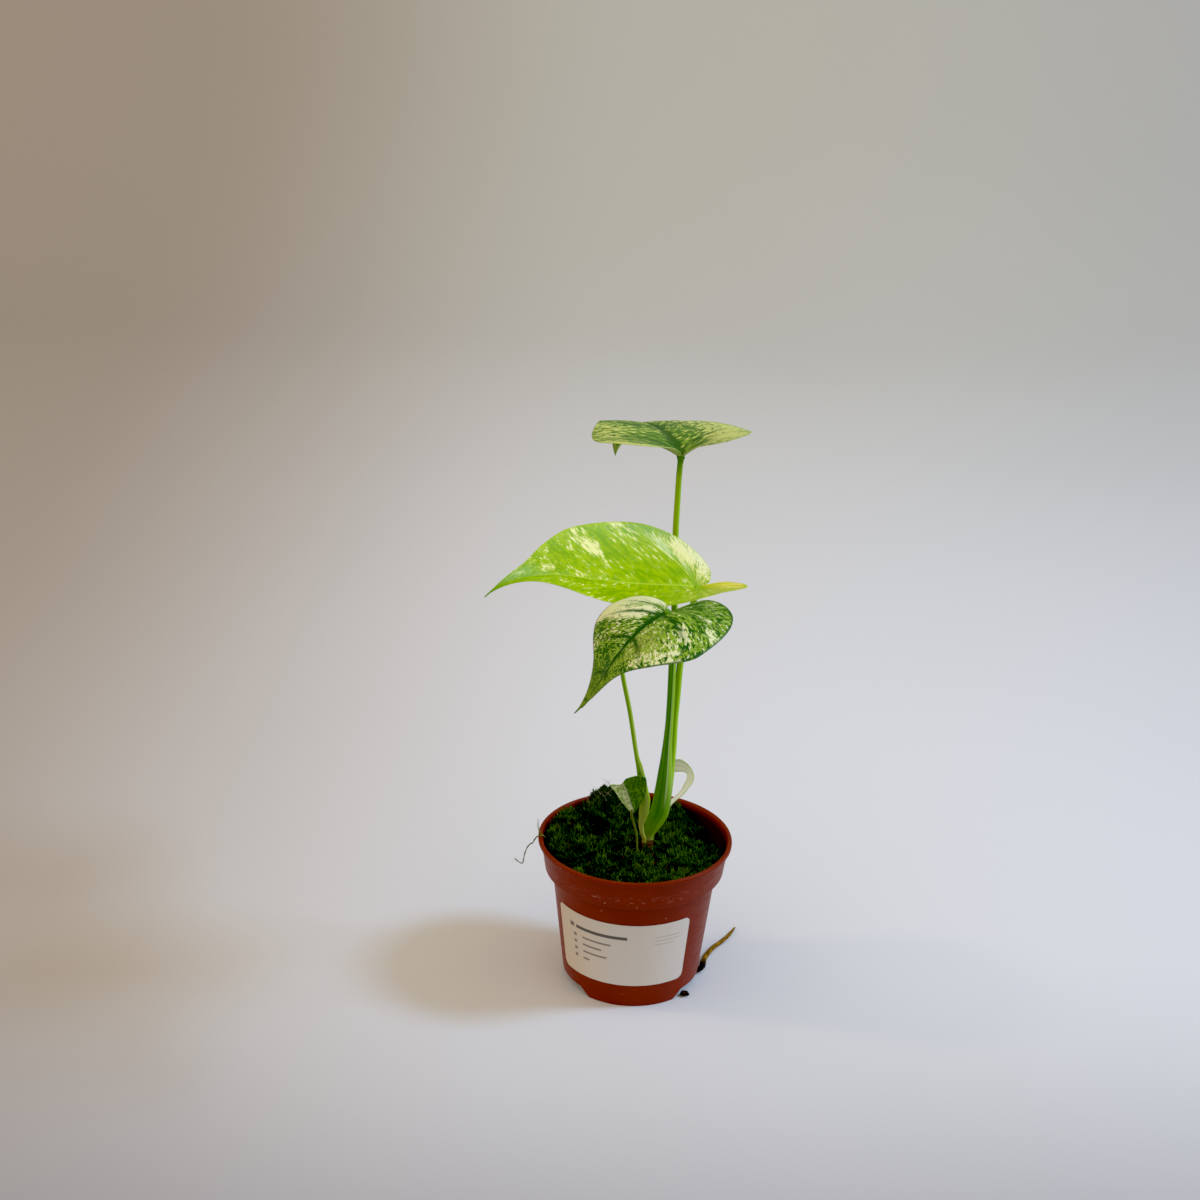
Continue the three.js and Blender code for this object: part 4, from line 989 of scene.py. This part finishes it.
def label_form():
    """A sheet on the pot's wall with rounded corners, whose mark is the place along it and up it in
    millimetres."""
    form = Form()
    low, high = LABEL_HEIGHTS
    west, east = (a * DEG for a in LABEL_AZIMUTHS)
    middle = wall_radius((low + high) / 2)
    # columns lie closer together in the rounded corners
    share = np.linspace(0, 1, 151)[:, None]
    share = share - 0.09 * np.sin(2 * math.pi * share)
    azimuth = west + (east - west) * share
    side = np.minimum(azimuth - west, east - azimuth) * middle
    short = np.maximum(0, LABEL_CORNER - side)
    cut = LABEL_CORNER - np.sqrt(np.maximum(0, LABEL_CORNER**2 - short**2))
    z = low + cut + (high - low - 2 * cut) * np.linspace(0, 1, 31)
    along = (azimuth - west) * middle
    radius = wall_radius(z) + LABEL_GAP + 0.03 * np.sin(0.9 * along) * np.sin(0.35 * z)
    inner, outer = (round_axis(radius + thickness, azimuth, z) for thickness in (0, LABEL_THICKNESS))
    closed_sheet(form, inner, outer, (along, z - low, 0))
    return form


def mix_form():
    """The filling as a turned solid whose side is rough with crossed waves."""
    form = Form()
    low = PLATE + MIX_GAP
    heights = np.concatenate([np.linspace(low + 1, 6, 24), np.linspace(7, MIX_TOP, 30)])
    side = [(wall_radius(z) - WALL - MIX_GAP, z) for z in heights]
    profile = np.array([(0, low), (12, low), (22, low), (wall_radius(low) - WALL - MIX_GAP - 1, low), *side,
                        (25, MIX_TOP), (12, MIX_TOP), (0, MIX_TOP)])
    turn, z = circle(MIX_SIDES), profile[:, 1:]
    waves = np.sin(61 * turn + 5 * z) * np.sin(97 * turn - 7 * z) + 0.7 * np.sin(151 * turn + 11 * z)
    lathe(form, profile, MIX_SIDES, -0.35 * (1 + 0.5 * waves) * (profile[:, :1] > 20))
    return form


# Materials

def pushes(finish, line, out, half, patches):
    """Sum of patches, each its push at its place in line and out on one half, falling smoothly to 0 at its
    reach."""
    total = 0
    for line_at, out_at, which, line_reach, out_reach, push in patches:
        here = finish.near(line, line_at, line_reach) * finish.near(out, out_at, out_reach)
        total = here * (half if which == 0 else 1 - half) * push + total
    return total


def leaf_finish(name, palette, look):
    """A blade's surface. A fine noise stretched along the side veins chooses between dark and middle tissue
    and a second one the pale flecks, both shifted by a broad noise and by patches, and tints colour single
    patches. Bands of the vein colour follow the midrib and the side veins, and the underside has its own
    tone."""
    dark, middle, pale, rib, knee, under = palette
    finish = Finish(name)
    _, line, signed, side = finish.mark()
    out = signed.math("ABSOLUTE")
    half = signed.math("GREATER_THAN", 0)
    # the place on the blade in about millimetres, with the two halves apart
    streak = finish.vector(line * 130, out * 34, half * 9)
    broad = (finish.noise(finish.scaled(streak, look["broad"]), detail=2) - 0.5) * look["patchiness"]
    fine = finish.noise(finish.scaled(streak, look["grain"]), detail=3, roughness=0.65)
    speck = finish.noise(finish.scaled(streak, look["speck"]), detail=3, roughness=0.65)
    ground = fine + broad + pushes(finish, line, out, half, look["zones"])
    flecks = speck + broad + pushes(finish, line, out, half, look["patches"])
    tinted = finish.ramp(speck, 0.3, 0.6)
    tints = [(pushes(finish, line, out, half, places) * tinted, code) for code, places in look["tints"]]
    wander = (fine - 0.5) * look["wander"]
    gap = (((line * SIDE_VEINS).math("FRACT") - 0.5).math("ABSOLUTE") - 0.5).math("ABSOLUTE")
    veins = finish.ramp(gap + wander, look["vein_width"], 0) * finish.ramp(out, 1, 0.3) * look["veins"]
    band = finish.ramp(out + wander * 0.4, look["band"], look["band"] * 0.4) * look["band_strength"]
    below = finish.ramp(side, 0.4, 0.6)
    colour = finish.layered(
        dark, (finish.ramp(ground, *look["middle"]), middle), (finish.ramp(flecks, *look["pale"]), pale),
        *tints, (veins.math("MAXIMUM", band), rib),
        (finish.ramp(out, 0.965, 0.99) * look["edge_strength"], look["edge"]),
        (below * 0.45, under), (finish.ramp(side, 1.4, 1.6), knee))
    height = fine * 0.35 + finish.noise(finish.scaled(streak, (2.4, 1.1, 1)), detail=3) * 0.65
    return finish.set(
        Base_Color=colour, Roughness=(fine - 0.5) * 0.2 + (below * 0.2 + look["roughness"]),
        Normal=finish.bump(height, 0.04), Specular_IOR_Level=0.15,
        Coat_Weight=look["coat"], Coat_Roughness=0.3,
        Subsurface_Weight=look["glow"], Subsurface_Radius=(0.6, 1.0, 0.1), Subsurface_Scale=0.0006)


# How each blade looks. A patch has its place in line and out, its half, its reach in both, and its push.
MINT_LOOK = {
    "broad": (0.2, 0.1, 1), "grain": (1.25, 0.34, 1), "speck": (1.15, 0.36, 1), "patchiness": 0.34,
    "middle": (0.45, 0.55), "pale": (0.545, 0.62), "wander": 0.2, "vein_width": 0.13, "veins": 1,
    "band": 0.1, "band_strength": 1, "edge": "2C5C1C", "edge_strength": 0.8,
    "roughness": 0.42, "coat": 0, "glow": 0.1,
    "tints": (("A8B05A", ((0.65, 0.45, 0, 0.09, 0.5, 0.6),)),
              ("8E9C0C", ((0.9, 0.5, 0, 0.2, 1, 0.5), (0.9, 0.5, 1, 0.2, 1, 0.5)))),
    "zones": ((0.64, 0.5, 0, 0.1, 0.5, 0.07), (0.56, 0.45, 1, 0.08, 0.4, 0.05),
              (0.92, 0.5, 0, 0.22, 1, -0.05), (0.88, 0.5, 1, 0.2, 1, -0.04),
              (0.42, 0.4, 1, 0.1, 0.3, -0.06), (0.25, 0.5, 0, 0.15, 0.5, -0.07),
              (0.75, 0.5, 1, 0.12, 0.8, -0.03)),
    "patches": ((0.4, 1.1, 1, 0.3, 0.85, 0.45), (0.28, 1, 1, 0.16, 0.8, 0.4),
                (0.57, 0.45, 1, 0.06, 0.4, 0.17), (0.44, 0.1, 1, 0.08, 0.16, -0.2),
                (0.54, 0.24, 1, 0.07, 0.2, 0.22), (0.6, 0.85, 1, 0.06, 0.4, -0.15),
                (0.75, 0.6, 1, 0.12, 0.9, -0.12), (0.88, 0.5, 0, 0.24, 1, -0.3),
                (0.88, 0.5, 1, 0.2, 1, -0.3), (0.64, 0.4, 0, 0.09, 0.35, -0.01),
                (0.45, 0.4, 0, 0.2, 0.8, -0.09), (0.6, 1, 0, 0.07, 0.4, 0.12),
                (0.48, 0.85, 0, 0.03, 0.3, 0.16), (0.55, 0.62, 0, 0.03, 0.25, 0.17),
                (0.44, 0.65, 0, 0.03, 0.25, 0.14), (0.68, 0.9, 0, 0.04, 0.4, 0.1),
                (0.22, 0.6, 0, 0.18, 0.6, -0.08)),
}
LIME_LOOK = {
    "broad": (0.2, 0.07, 1), "grain": (0.75, 0.2, 1), "speck": (1.05, 0.22, 1), "patchiness": 0.62,
    "middle": (0.35, 0.62), "pale": (0.56, 0.72), "wander": 0.1, "vein_width": 0.05, "veins": 0.25,
    "band": 0.03, "band_strength": 0.7, "edge": "B2CC40", "edge_strength": 0.5,
    "roughness": 0.42, "coat": 0.04, "glow": 0.12,
    "tints": (("E8D420", ((0.14, 0.75, 0, 0.34, 0.9, 1),)),
              # 9CCB8E is a painted sheen: bluish highlights on the right half near the tip and at two
              #                            places nearer the middle
              ("9CCB8E", ((0.86, 0.6, 1, 0.08, 0.7, 0.6), (0.46, 0.65, 1, 0.05, 0.3, 0.7),
                          (0.4, 0.35, 1, 0.05, 0.3, 0.5))),
              ("E9EAC4", ((0.27, 0.95, 1, 0.2, 0.5, 0.9),)),
              ("5C9E10", ((1, 0.5, 0, 0.13, 2, 1), (1, 0.5, 1, 0.13, 2, 1)))),
    "zones": ((0.1, 0.7, 0, 0.25, 0.8, 0.3), (0.95, 0.5, 0, 0.14, 1, -0.4), (0.95, 0.5, 1, 0.14, 1, -0.4)),
    "patches": ((0.26, 0.8, 1, 0.26, 0.75, 0.26), (0.53, 0.95, 1, 0.05, 0.3, 0.12),
                (0.64, 0.85, 1, 0.04, 0.4, 0.14), (0.46, 0.7, 1, 0.05, 0.3, 0.14),
                (0.42, 0.42, 1, 0.05, 0.25, 0.16), (0.63, 0.6, 1, 0.025, 0.3, 0.16),
                (0.37, 0.75, 1, 0.05, 0.3, 0.16), (0.77, 0.35, 1, 0.05, 0.3, 0.16),
                (0.6, 0.5, 0, 0.3, 1, -0.04), (0.95, 0.5, 0, 0.2, 1, -0.3), (0.97, 0.5, 1, 0.14, 1, -0.3),
                (0.84, 0.6, 1, 0.08, 0.6, 0.1), (0.15, 0.8, 0, 0.2, 0.6, 0.2),
                (0.02, 0.9, 0, 0.1, 0.5, 0.2)),
}
SAGE_LOOK = {
    "broad": (0.12, 0.05, 1), "grain": (1.1, 0.26, 1), "speck": (1.1, 0.26, 1), "patchiness": 0.35,
    "middle": (0.45, 0.54), "pale": (0.54, 0.61), "wander": 0.3, "vein_width": 0.12, "veins": 0.85,
    "band": 0.12, "band_strength": 0.9, "edge": "9DB860", "edge_strength": 0.4,
    "roughness": 0.45, "coat": 0, "glow": 0.1, "tints": (),
    "zones": ((0.35, 0.15, 0, 0.3, 0.45, -0.16), (0.35, 0.15, 1, 0.3, 0.45, -0.16)),
    "patches": ((0.28, 1, 0, 0.2, 0.2, 0.6), (0.55, 0.9, 0, 0.15, 0.35, 0.1),
                (0.42, 0.7, 1, 0.36, 0.65, 0.2), (0.35, 0.1, 0, 0.3, 0.5, -0.3),
                (0.35, 0.1, 1, 0.3, 0.5, -0.3), (0.95, 0.5, 0, 0.15, 1, -0.4),
                (0.95, 0.5, 1, 0.15, 1, -0.4)),
}


def stalk_finish(name, stops, light, edge, brim_strength):
    """A stalk: its colour at heights in millimetres, with long fine streaks, painted light on its right
    side, which faces the window light, and pale edges where the sheath opens."""
    finish = Finish(name)
    _, along, turn, hollow = finish.mark()
    z = finish.parts(finish.millimetres())[2]
    streak = finish.noise(finish.vector(turn * 22, along * 5, 0), detail=3)
    fleck = finish.noise(finish.vector(turn * 60, along * 90, 2), detail=2)
    # painted light: the right side, toward the window light, is lighter, more so higher up
    painted_light_flank = finish.ramp(turn, 0.8, 0.84) + finish.ramp(turn, 0.22, 0.12)
    painted_light_flank = painted_light_flank * (finish.ramp(z, 86, 104) * 0.4 + 0.35)
    lighter = (finish.ramp(streak, 0.4, 0.75) * 0.3 + painted_light_flank).math("MINIMUM", 1.0)
    brim = finish.near(turn, 0.8, 0.03) * finish.ramp(z, 175, 110) * finish.ramp(z, 84, 96) * brim_strength
    (_, first), *others = stops
    heights = [(finish.ramp(z, low, high), code) for (low, _), (high, code) in zip(stops, others)]
    colour = finish.layered(
        first, *heights, (lighter, light), (hollow * finish.ramp(z, 185, 120) * 0.8, edge), (brim, edge),
        (finish.ramp(fleck, 0.66, 0.74) * 0.2, edge))
    return finish.set(Base_Color=colour, Roughness=streak * 0.15 + 0.4, Normal=finish.bump(streak, 0.05),
                      Specular_IOR_Level=0.12)


def pot_finish():
    """Moulded plastic: a faint mottle, flow marks round it, pale scuffs, dark and pale specks, and the
    inside above the moss darkened by painted shade."""
    finish = Finish("moulded_terracotta_plastic")
    place = finish.millimetres()
    _, _, z = finish.parts(place)
    mottle = finish.noise(place, 0.05, detail=4)
    rubbed = finish.noise(finish.scaled(place, (0.25, 0.25, 1.1)), 0.5, detail=4, roughness=0.7)
    dot = finish.ramp(finish.cells(place, 0.22), 0.075, 0.03)
    which = finish.noise(place, 0.31, detail=0)
    scuff = finish.noise(finish.scaled(place, (0.35, 0.35, 2.2)), 1, detail=3)
    band = finish.near(z, COLLAR_Z + 5, 4) * finish.ramp(scuff, 0.58, 0.72)
    radius = finish.node("VectorMath", [finish.scaled(place, (1, 1, 0))], output=1, operation="LENGTH")
    # painted shade: the inside wall between the moss and the lip is darkened to 260C04 by inner and height
    inner = radius - (z - COLLAR_Z) * COLLAR_SLOPE - (COLLAR_RADIUS - WALL / 2)
    height = finish.ramp(z, LIP_Z + 1.6, LIP_Z - 1.5) * finish.ramp(z, 58, 58.5)
    colour = finish.layered(
        "6B1D03", (mottle, "802807"), (finish.ramp(rubbed, 0.62, 0.78) * 0.3, "C07A62"),
        (dot * finish.ramp(which, 0.56, 0.6) * 0.75, "D8B8A8"),
        (dot * finish.ramp(which, 0.42, 0.38) * 0.7, "3A1208"),
        (band * 0.45, "CE9484"), (finish.ramp(inner, 0.2, -0.2) * height * 0.93, "260C04"))
    grain = finish.noise(place, 2.2, detail=3)
    return finish.set(Base_Color=colour, Roughness=0.36 + finish.ramp(rubbed, 0.45, 0.75) * 0.22,
                      Normal=finish.bump(grain, 0.03), Specular_IOR_Level=0.14)


def label_finish():
    """Uncoated paper, a little warmer to the left, with plain ruled lines and small squares."""
    finish = Finish("matt_label_paper")
    vector, along, up, _ = finish.mark()
    fibre = finish.noise(finish.scaled(vector, (1.4, 2.6, 0)), 1, detail=4, roughness=0.7)
    lines = []
    for start, end, height, thick, strength in LABEL_LINES:
        inside = finish.ramp(along, start - 0.15, start + 0.15) * finish.ramp(along, end + 0.15, end - 0.15)
        across = (up - height).math("ABSOLUTE")
        lines.append(inside * finish.ramp(across, thick / 2 + 0.1, thick / 2 - 0.1) * strength)
    ink = lines[0]
    for line in lines[1:]:
        ink = ink.math("MAXIMUM", line)
    colour = finish.layered("C9C3BE", (finish.ramp(along, 40, 0), "C4B5A2"),
                            (finish.ramp(fibre, 0.4, 0.7) * 0.25, "DAD4CC"), (ink, "3A3734"))
    return finish.set(Base_Color=colour, Roughness=0.62, Normal=finish.bump(fibre, 0.02))


def moss_finish():
    """Painted shade and the moss's own tone: dark at the roots and in the hollows between clumps, bright on
    clump tops and at the tips of some sprigs, with a few dry brown ones and pale hairs.
    """
    finish = Finish("living_moss")
    _, height, shade, clump = finish.mark()
    broad = finish.noise(finish.millimetres(), 0.1, detail=3)
    # lit holds painted shade in the hollows between clumps and painted light on clump tops, over the darker
    # roots
    lit = finish.ramp(height * 0.6 + (shade - 0.5) * 0.3 + (clump - 0.7) * 1.4 + (broad - 0.55) * 2.6, 0, 1)
    colour = finish.layered(
        "1D2707", (lit, "496B0E"), (finish.ramp(lit, 0.6, 1) * finish.ramp(shade, 0.5, 1) * 0.6, "6F9020"),
        (finish.ramp(shade, 0.975, 0.98), "5A4018"), (finish.ramp(clump, 1.4, 1.6), "A09A80"))
    return finish.set(Base_Color=colour, Roughness=0.8, Specular_IOR_Level=0.1)


def grain_finish(name, dark, light, scale, roughness):
    """Earthy matter: dark and light by a fine noise, with dark grains by cells."""
    finish = Finish(name)
    place = finish.millimetres()
    cells = finish.cells(place, scale)
    noise = finish.noise(place, scale * 0.6, detail=4)
    colour = finish.layered(dark, (finish.ramp(noise, 0.35, 0.75), light),
                            (finish.ramp(cells, 0.5, 0.1) * 0.5, dark))
    return finish.set(Base_Color=colour, Roughness=roughness, Normal=finish.bump(cells + noise, 0.3),
                      Specular_IOR_Level=0.1)


def bark_finish():
    """Rootstock: brown stem in rings, and outside an olive root with lighter streaks and dark soil at its
    start."""
    finish = Finish("root_skin")
    _, along, turn, part = finish.mark()
    streak = finish.noise(finish.vector(turn * 9, along * 40, part), detail=4)
    ring = finish.noise(finish.vector(turn * 2, along * 160, part), detail=2)
    soil = finish.noise(finish.millimetres(), 0.9, detail=3)
    soiled = finish.ramp(along + (soil - 0.5) * 0.16, 0.64, 0.58)
    stem = finish.mix(finish.ramp(ring, 0.35, 0.65), "2E1C0C", "664420")
    root = finish.layered("4A2C06", (finish.ramp(streak, 0.3, 0.7), "A07818"),
                          (finish.ramp(streak, 0.66, 0.76) * 0.5, "C8B060"), (soiled, "100A06"))
    colour = finish.mix(finish.ramp(part, 0.9, 1.1), stem, root)
    return finish.set(Base_Color=colour, Roughness=0.7, Normal=finish.bump(ring + streak, 0.12),
                      Specular_IOR_Level=0.1)


def folded_bract_finish():
    """Pale and speckled left of the crease, dark green right of it, with an olive thread."""
    finish = Finish("folded_bract")
    _, crease, _, part = finish.mark()
    speck = finish.noise(finish.scaled(finish.millimetres(), (1.2, 1.2, 0.6)), 1, detail=3)
    dark = finish.mix(finish.ramp(speck, 0.45, 0.62), "2E6608", "6C9A1C")
    pale = finish.mix(finish.ramp(speck, 0.4, 0.6), "86AA48", "D2DCAE")
    colour = finish.layered(pale, (finish.ramp(crease, 0.25, -0.25), dark),
                            (finish.near(crease, 0, 0.5) * 0.5, "D8E0C0"),
                            (finish.ramp(part, 1.4, 1.6), "6A7A2C"))
    return finish.set(Base_Color=colour, Roughness=0.5, Normal=finish.bump(speck, 0.08),
                      Subsurface_Weight=0.2, Subsurface_Radius=(0.8, 1.0, 0.4), Subsurface_Scale=0.001)


def papery_finish():
    """Thin dry tissue: pale with long veins, green at its edges and brown at its foot."""
    finish = Finish("papery_bract")
    _, along, across, _ = finish.mark()
    veins = finish.noise(finish.vector(across * 7, along * 2, 0), detail=3)
    colour = finish.layered("E4EEDA", (finish.ramp(veins, 0.35, 0.65), "FAFCF6"),
                            (finish.ramp(across.math("ABSOLUTE"), 0.5, 1) * 0.7, "BCD49C"),
                            (finish.ramp(along, 0.2, 0) * 0.6, "9A8A66"))
    return finish.set(Base_Color=colour, Roughness=0.55, Normal=finish.bump(veins, 0.08),
                      Subsurface_Weight=0.4, Subsurface_Radius=(1.0, 1.0, 0.7), Subsurface_Scale=0.001)


def plain_finish(name, dark, light, roughness):
    """Two close tones in a fine noise."""
    finish = Finish(name)
    noise = finish.noise(finish.millimetres(), 0.8, detail=3)
    colour = finish.mix(finish.ramp(noise, 0.35, 0.65), dark, light)
    return finish.set(Base_Color=colour, Roughness=roughness)


# The object

soil = grain_finish("moist_potting_mix", "0C0806", "3A2818", 0.9, 0.85)
piece("pot_body", pot_mesh(), "pot", pot_finish(), sharp=40)
piece("label_sheet", label_form(), "label", label_finish(), sharp=50)
piece("mix_filling", mix_form(), "potting_mix", soil)
piece("crumb_lump", crumb_form(), "crumb", soil)
piece("moss_carpet", moss_form(), "moss", moss_finish(), sharp=60)
dry_moss = plain_finish("dry_moss_stem", "2E3408", "7C8430", 0.8)
piece("moss_stem", strand_form(), "moss_strand", dry_moss)
piece("stem_and_roots", rootstock_form(), "rootstock", bark_finish())
# each palette: dark, middle and pale tissue, veins, stalk end, underside
LEAVES = (
    ("blade_top", "leaf_sage", SAGE_LOOK, ("4A7420", "84A436", "CAD274", "2E5C16", "4E8210", "B2C25E")),
    ("blade_middle", "leaf_lime", LIME_LOOK, ("80A800", "A2BE00", "EEEAA0", "B6D03A", "8EB818", "A2BE34")),
    ("blade_lower", "leaf_mint", MINT_LOOK, ("1C5A0A", "88AA30", "DEE3B2", "174E07", "5E8E1A", "8FA766")),
)
for node, leaf_slot, look, palette in LEAVES:
    finish = leaf_finish(leaf_slot, palette, look)
    piece(node.replace("blade", "leaf"), blade_form(BLADES[node]), node, finish, sharp=70)
# each stalk: its colours at heights, the colour of the painted light on its right side, its pale edge
# and how strong the sheath's brim is
STALKS = (
    ("petiole_top", "stalk_dark", 280, 56,
     ((70, "8E9A54"), (75, "547E20"), (84, "387408"), (165, "3A7806"), (215, "84A416"), (238, "84A416"),
      (246, "4E8210")), ("92BE2A", "CDDCA2", 0.55)),
    ("petiole_middle", "stalk_light", 180, 36,
     ((80, "7CAA14"), (190, "84B01A")), ("9CC62C", "CBD6A6", 0)),
    ("petiole_lower", "stalk_light", 260, 36,
     ((70, "86803C"), (79, "9DA456"), (90, "92AC44"), (103, "6EA008"), (200, "6EA008")),
     ("A6C438", "D6D6B0", 0.4)),
)
for node, stalk_slot, steps, sides, stops, tints in STALKS:
    name = node.replace("petiole", "stalk")
    finish = stalk_finish(name + "_skin", stops, *tints)
    piece(name, stalk_form(node, steps, sides), node, finish, sharp=60)
piece("bract_sheet", folded_bract_form(), "bract_folded", folded_bract_finish(), sharp=60)
piece("bract_ribbon", curled_bract_form(), "bract_curled", papery_finish(), sharp=60)


# Stage, light and camera

def backdrop():
    """A floor that turns up into a wall along a quarter circle, as one sheet."""
    form = Form()
    front, back, bend, top, half, drop = -3.0e3, 1.0e3, 0.8e3, 2.6e3, 3.2e3, -0.05
    turn = np.linspace(0, math.pi / 2, 24)[1:]
    curve = np.stack([back + bend * np.sin(turn), bend * (1 - np.cos(turn)) + drop], -1)
    line = np.concatenate([[(front, drop), (back, drop)], curve, [(back + bend, top)]])
    grid = np.stack(np.broadcast_arrays([-half, half], line[:, :1], line[:, 1:]), -1)
    form.add(grid, grid_faces(len(line), 2))
    sheet = added("backdrop", form.mesh("backdrop"))
    finish = Finish("backdrop_paper")
    x, y, _ = finish.parts(finish.place())
    cloud = finish.noise(finish.place(), 1.5, detail=2) - 0.5
    # painted shade: the paper darkens up the wall and towards the left, the front by the pot and the right
    colour = finish.layered(
        "D8D8DC", (finish.ramp(y + cloud * 0.3, 0.15, 1.5), "BAB9B1"),
        (finish.ramp(x + cloud * 0.1, 0, -0.45) * 0.95, "A1968B"),
        (finish.ramp(y + cloud * 0.1, 0.02, -0.3) * 0.95, "949298"),
        (finish.ramp(x + cloud * 0.2, 0.08, 0.8) * 0.8, "ADADB0"))
    sheet.data.materials.append(finish.set(Base_Color=colour, Roughness=0.9))


def look_axes(toward, roll=0.0):
    """The turn of something that looks along toward, rolled by roll degrees about that line. Its right, up
    and back are the columns."""
    back = -unit(np.array(toward, float))
    right = unit(np.cross([0, 0, 1], back))
    up = np.cross(back, right)
    c, s = math.cos(roll * DEG), math.sin(roll * DEG)
    return Matrix(np.stack([c * right + s * up, c * up - s * right, back], -1).tolist())


def area_light(name, place, target, size, power, colour):
    """A square light at place that faces target, both in metres."""
    light = bpy.data.lights.new(name, "AREA")
    light.size, light.energy, light.color = size, power, colour
    lamp = added(name, light)
    lamp.location = place
    lamp.rotation_euler = look_axes(np.array(target) - np.array(place)).to_euler()


def camera():
    """The photograph's viewpoint: about a metre in front of the pot, looking down on it by 23 degrees."""
    eye, pitch, roll, lens, sensor = (-0.0196, -1.0243, 0.6303), 23.205 * DEG, 1.712, 75, 36
    data = bpy.data.cameras.new("camera")
    data.sensor_width, data.lens = sensor, lens
    shot = added("camera", data)
    axes = look_axes((0, math.cos(pitch), -math.sin(pitch)), roll)
    shot.matrix_world = Matrix.Translation(eye) @ axes.to_4x4()
    bpy.context.scene.camera = shot


backdrop()
camera()
POT_MIDDLE = (0, 0, 0.06)
area_light("window", (1.46, 0, 1.42), POT_MIDDLE, 0.38, 24, (0.43, 0.67, 1.0))
area_light("lamp", (-1.79, 0.12, 0.95), POT_MIDDLE, 0.22, 6, (1.0, 0.7, 0.5))
world = bpy.data.worlds.new("room")
world.use_nodes = True
world.node_tree.nodes["Background"].inputs["Color"].default_value = (0.85, 0.76, 0.62, 1)
world.node_tree.nodes["Background"].inputs["Strength"].default_value = 1
bpy.context.scene.world = world
view = bpy.context.scene.view_settings
view.view_transform = "Standard"
view.use_curve_mapping = True
view.curve_mapping.black_level = (0.01, 0.01, 0.01)
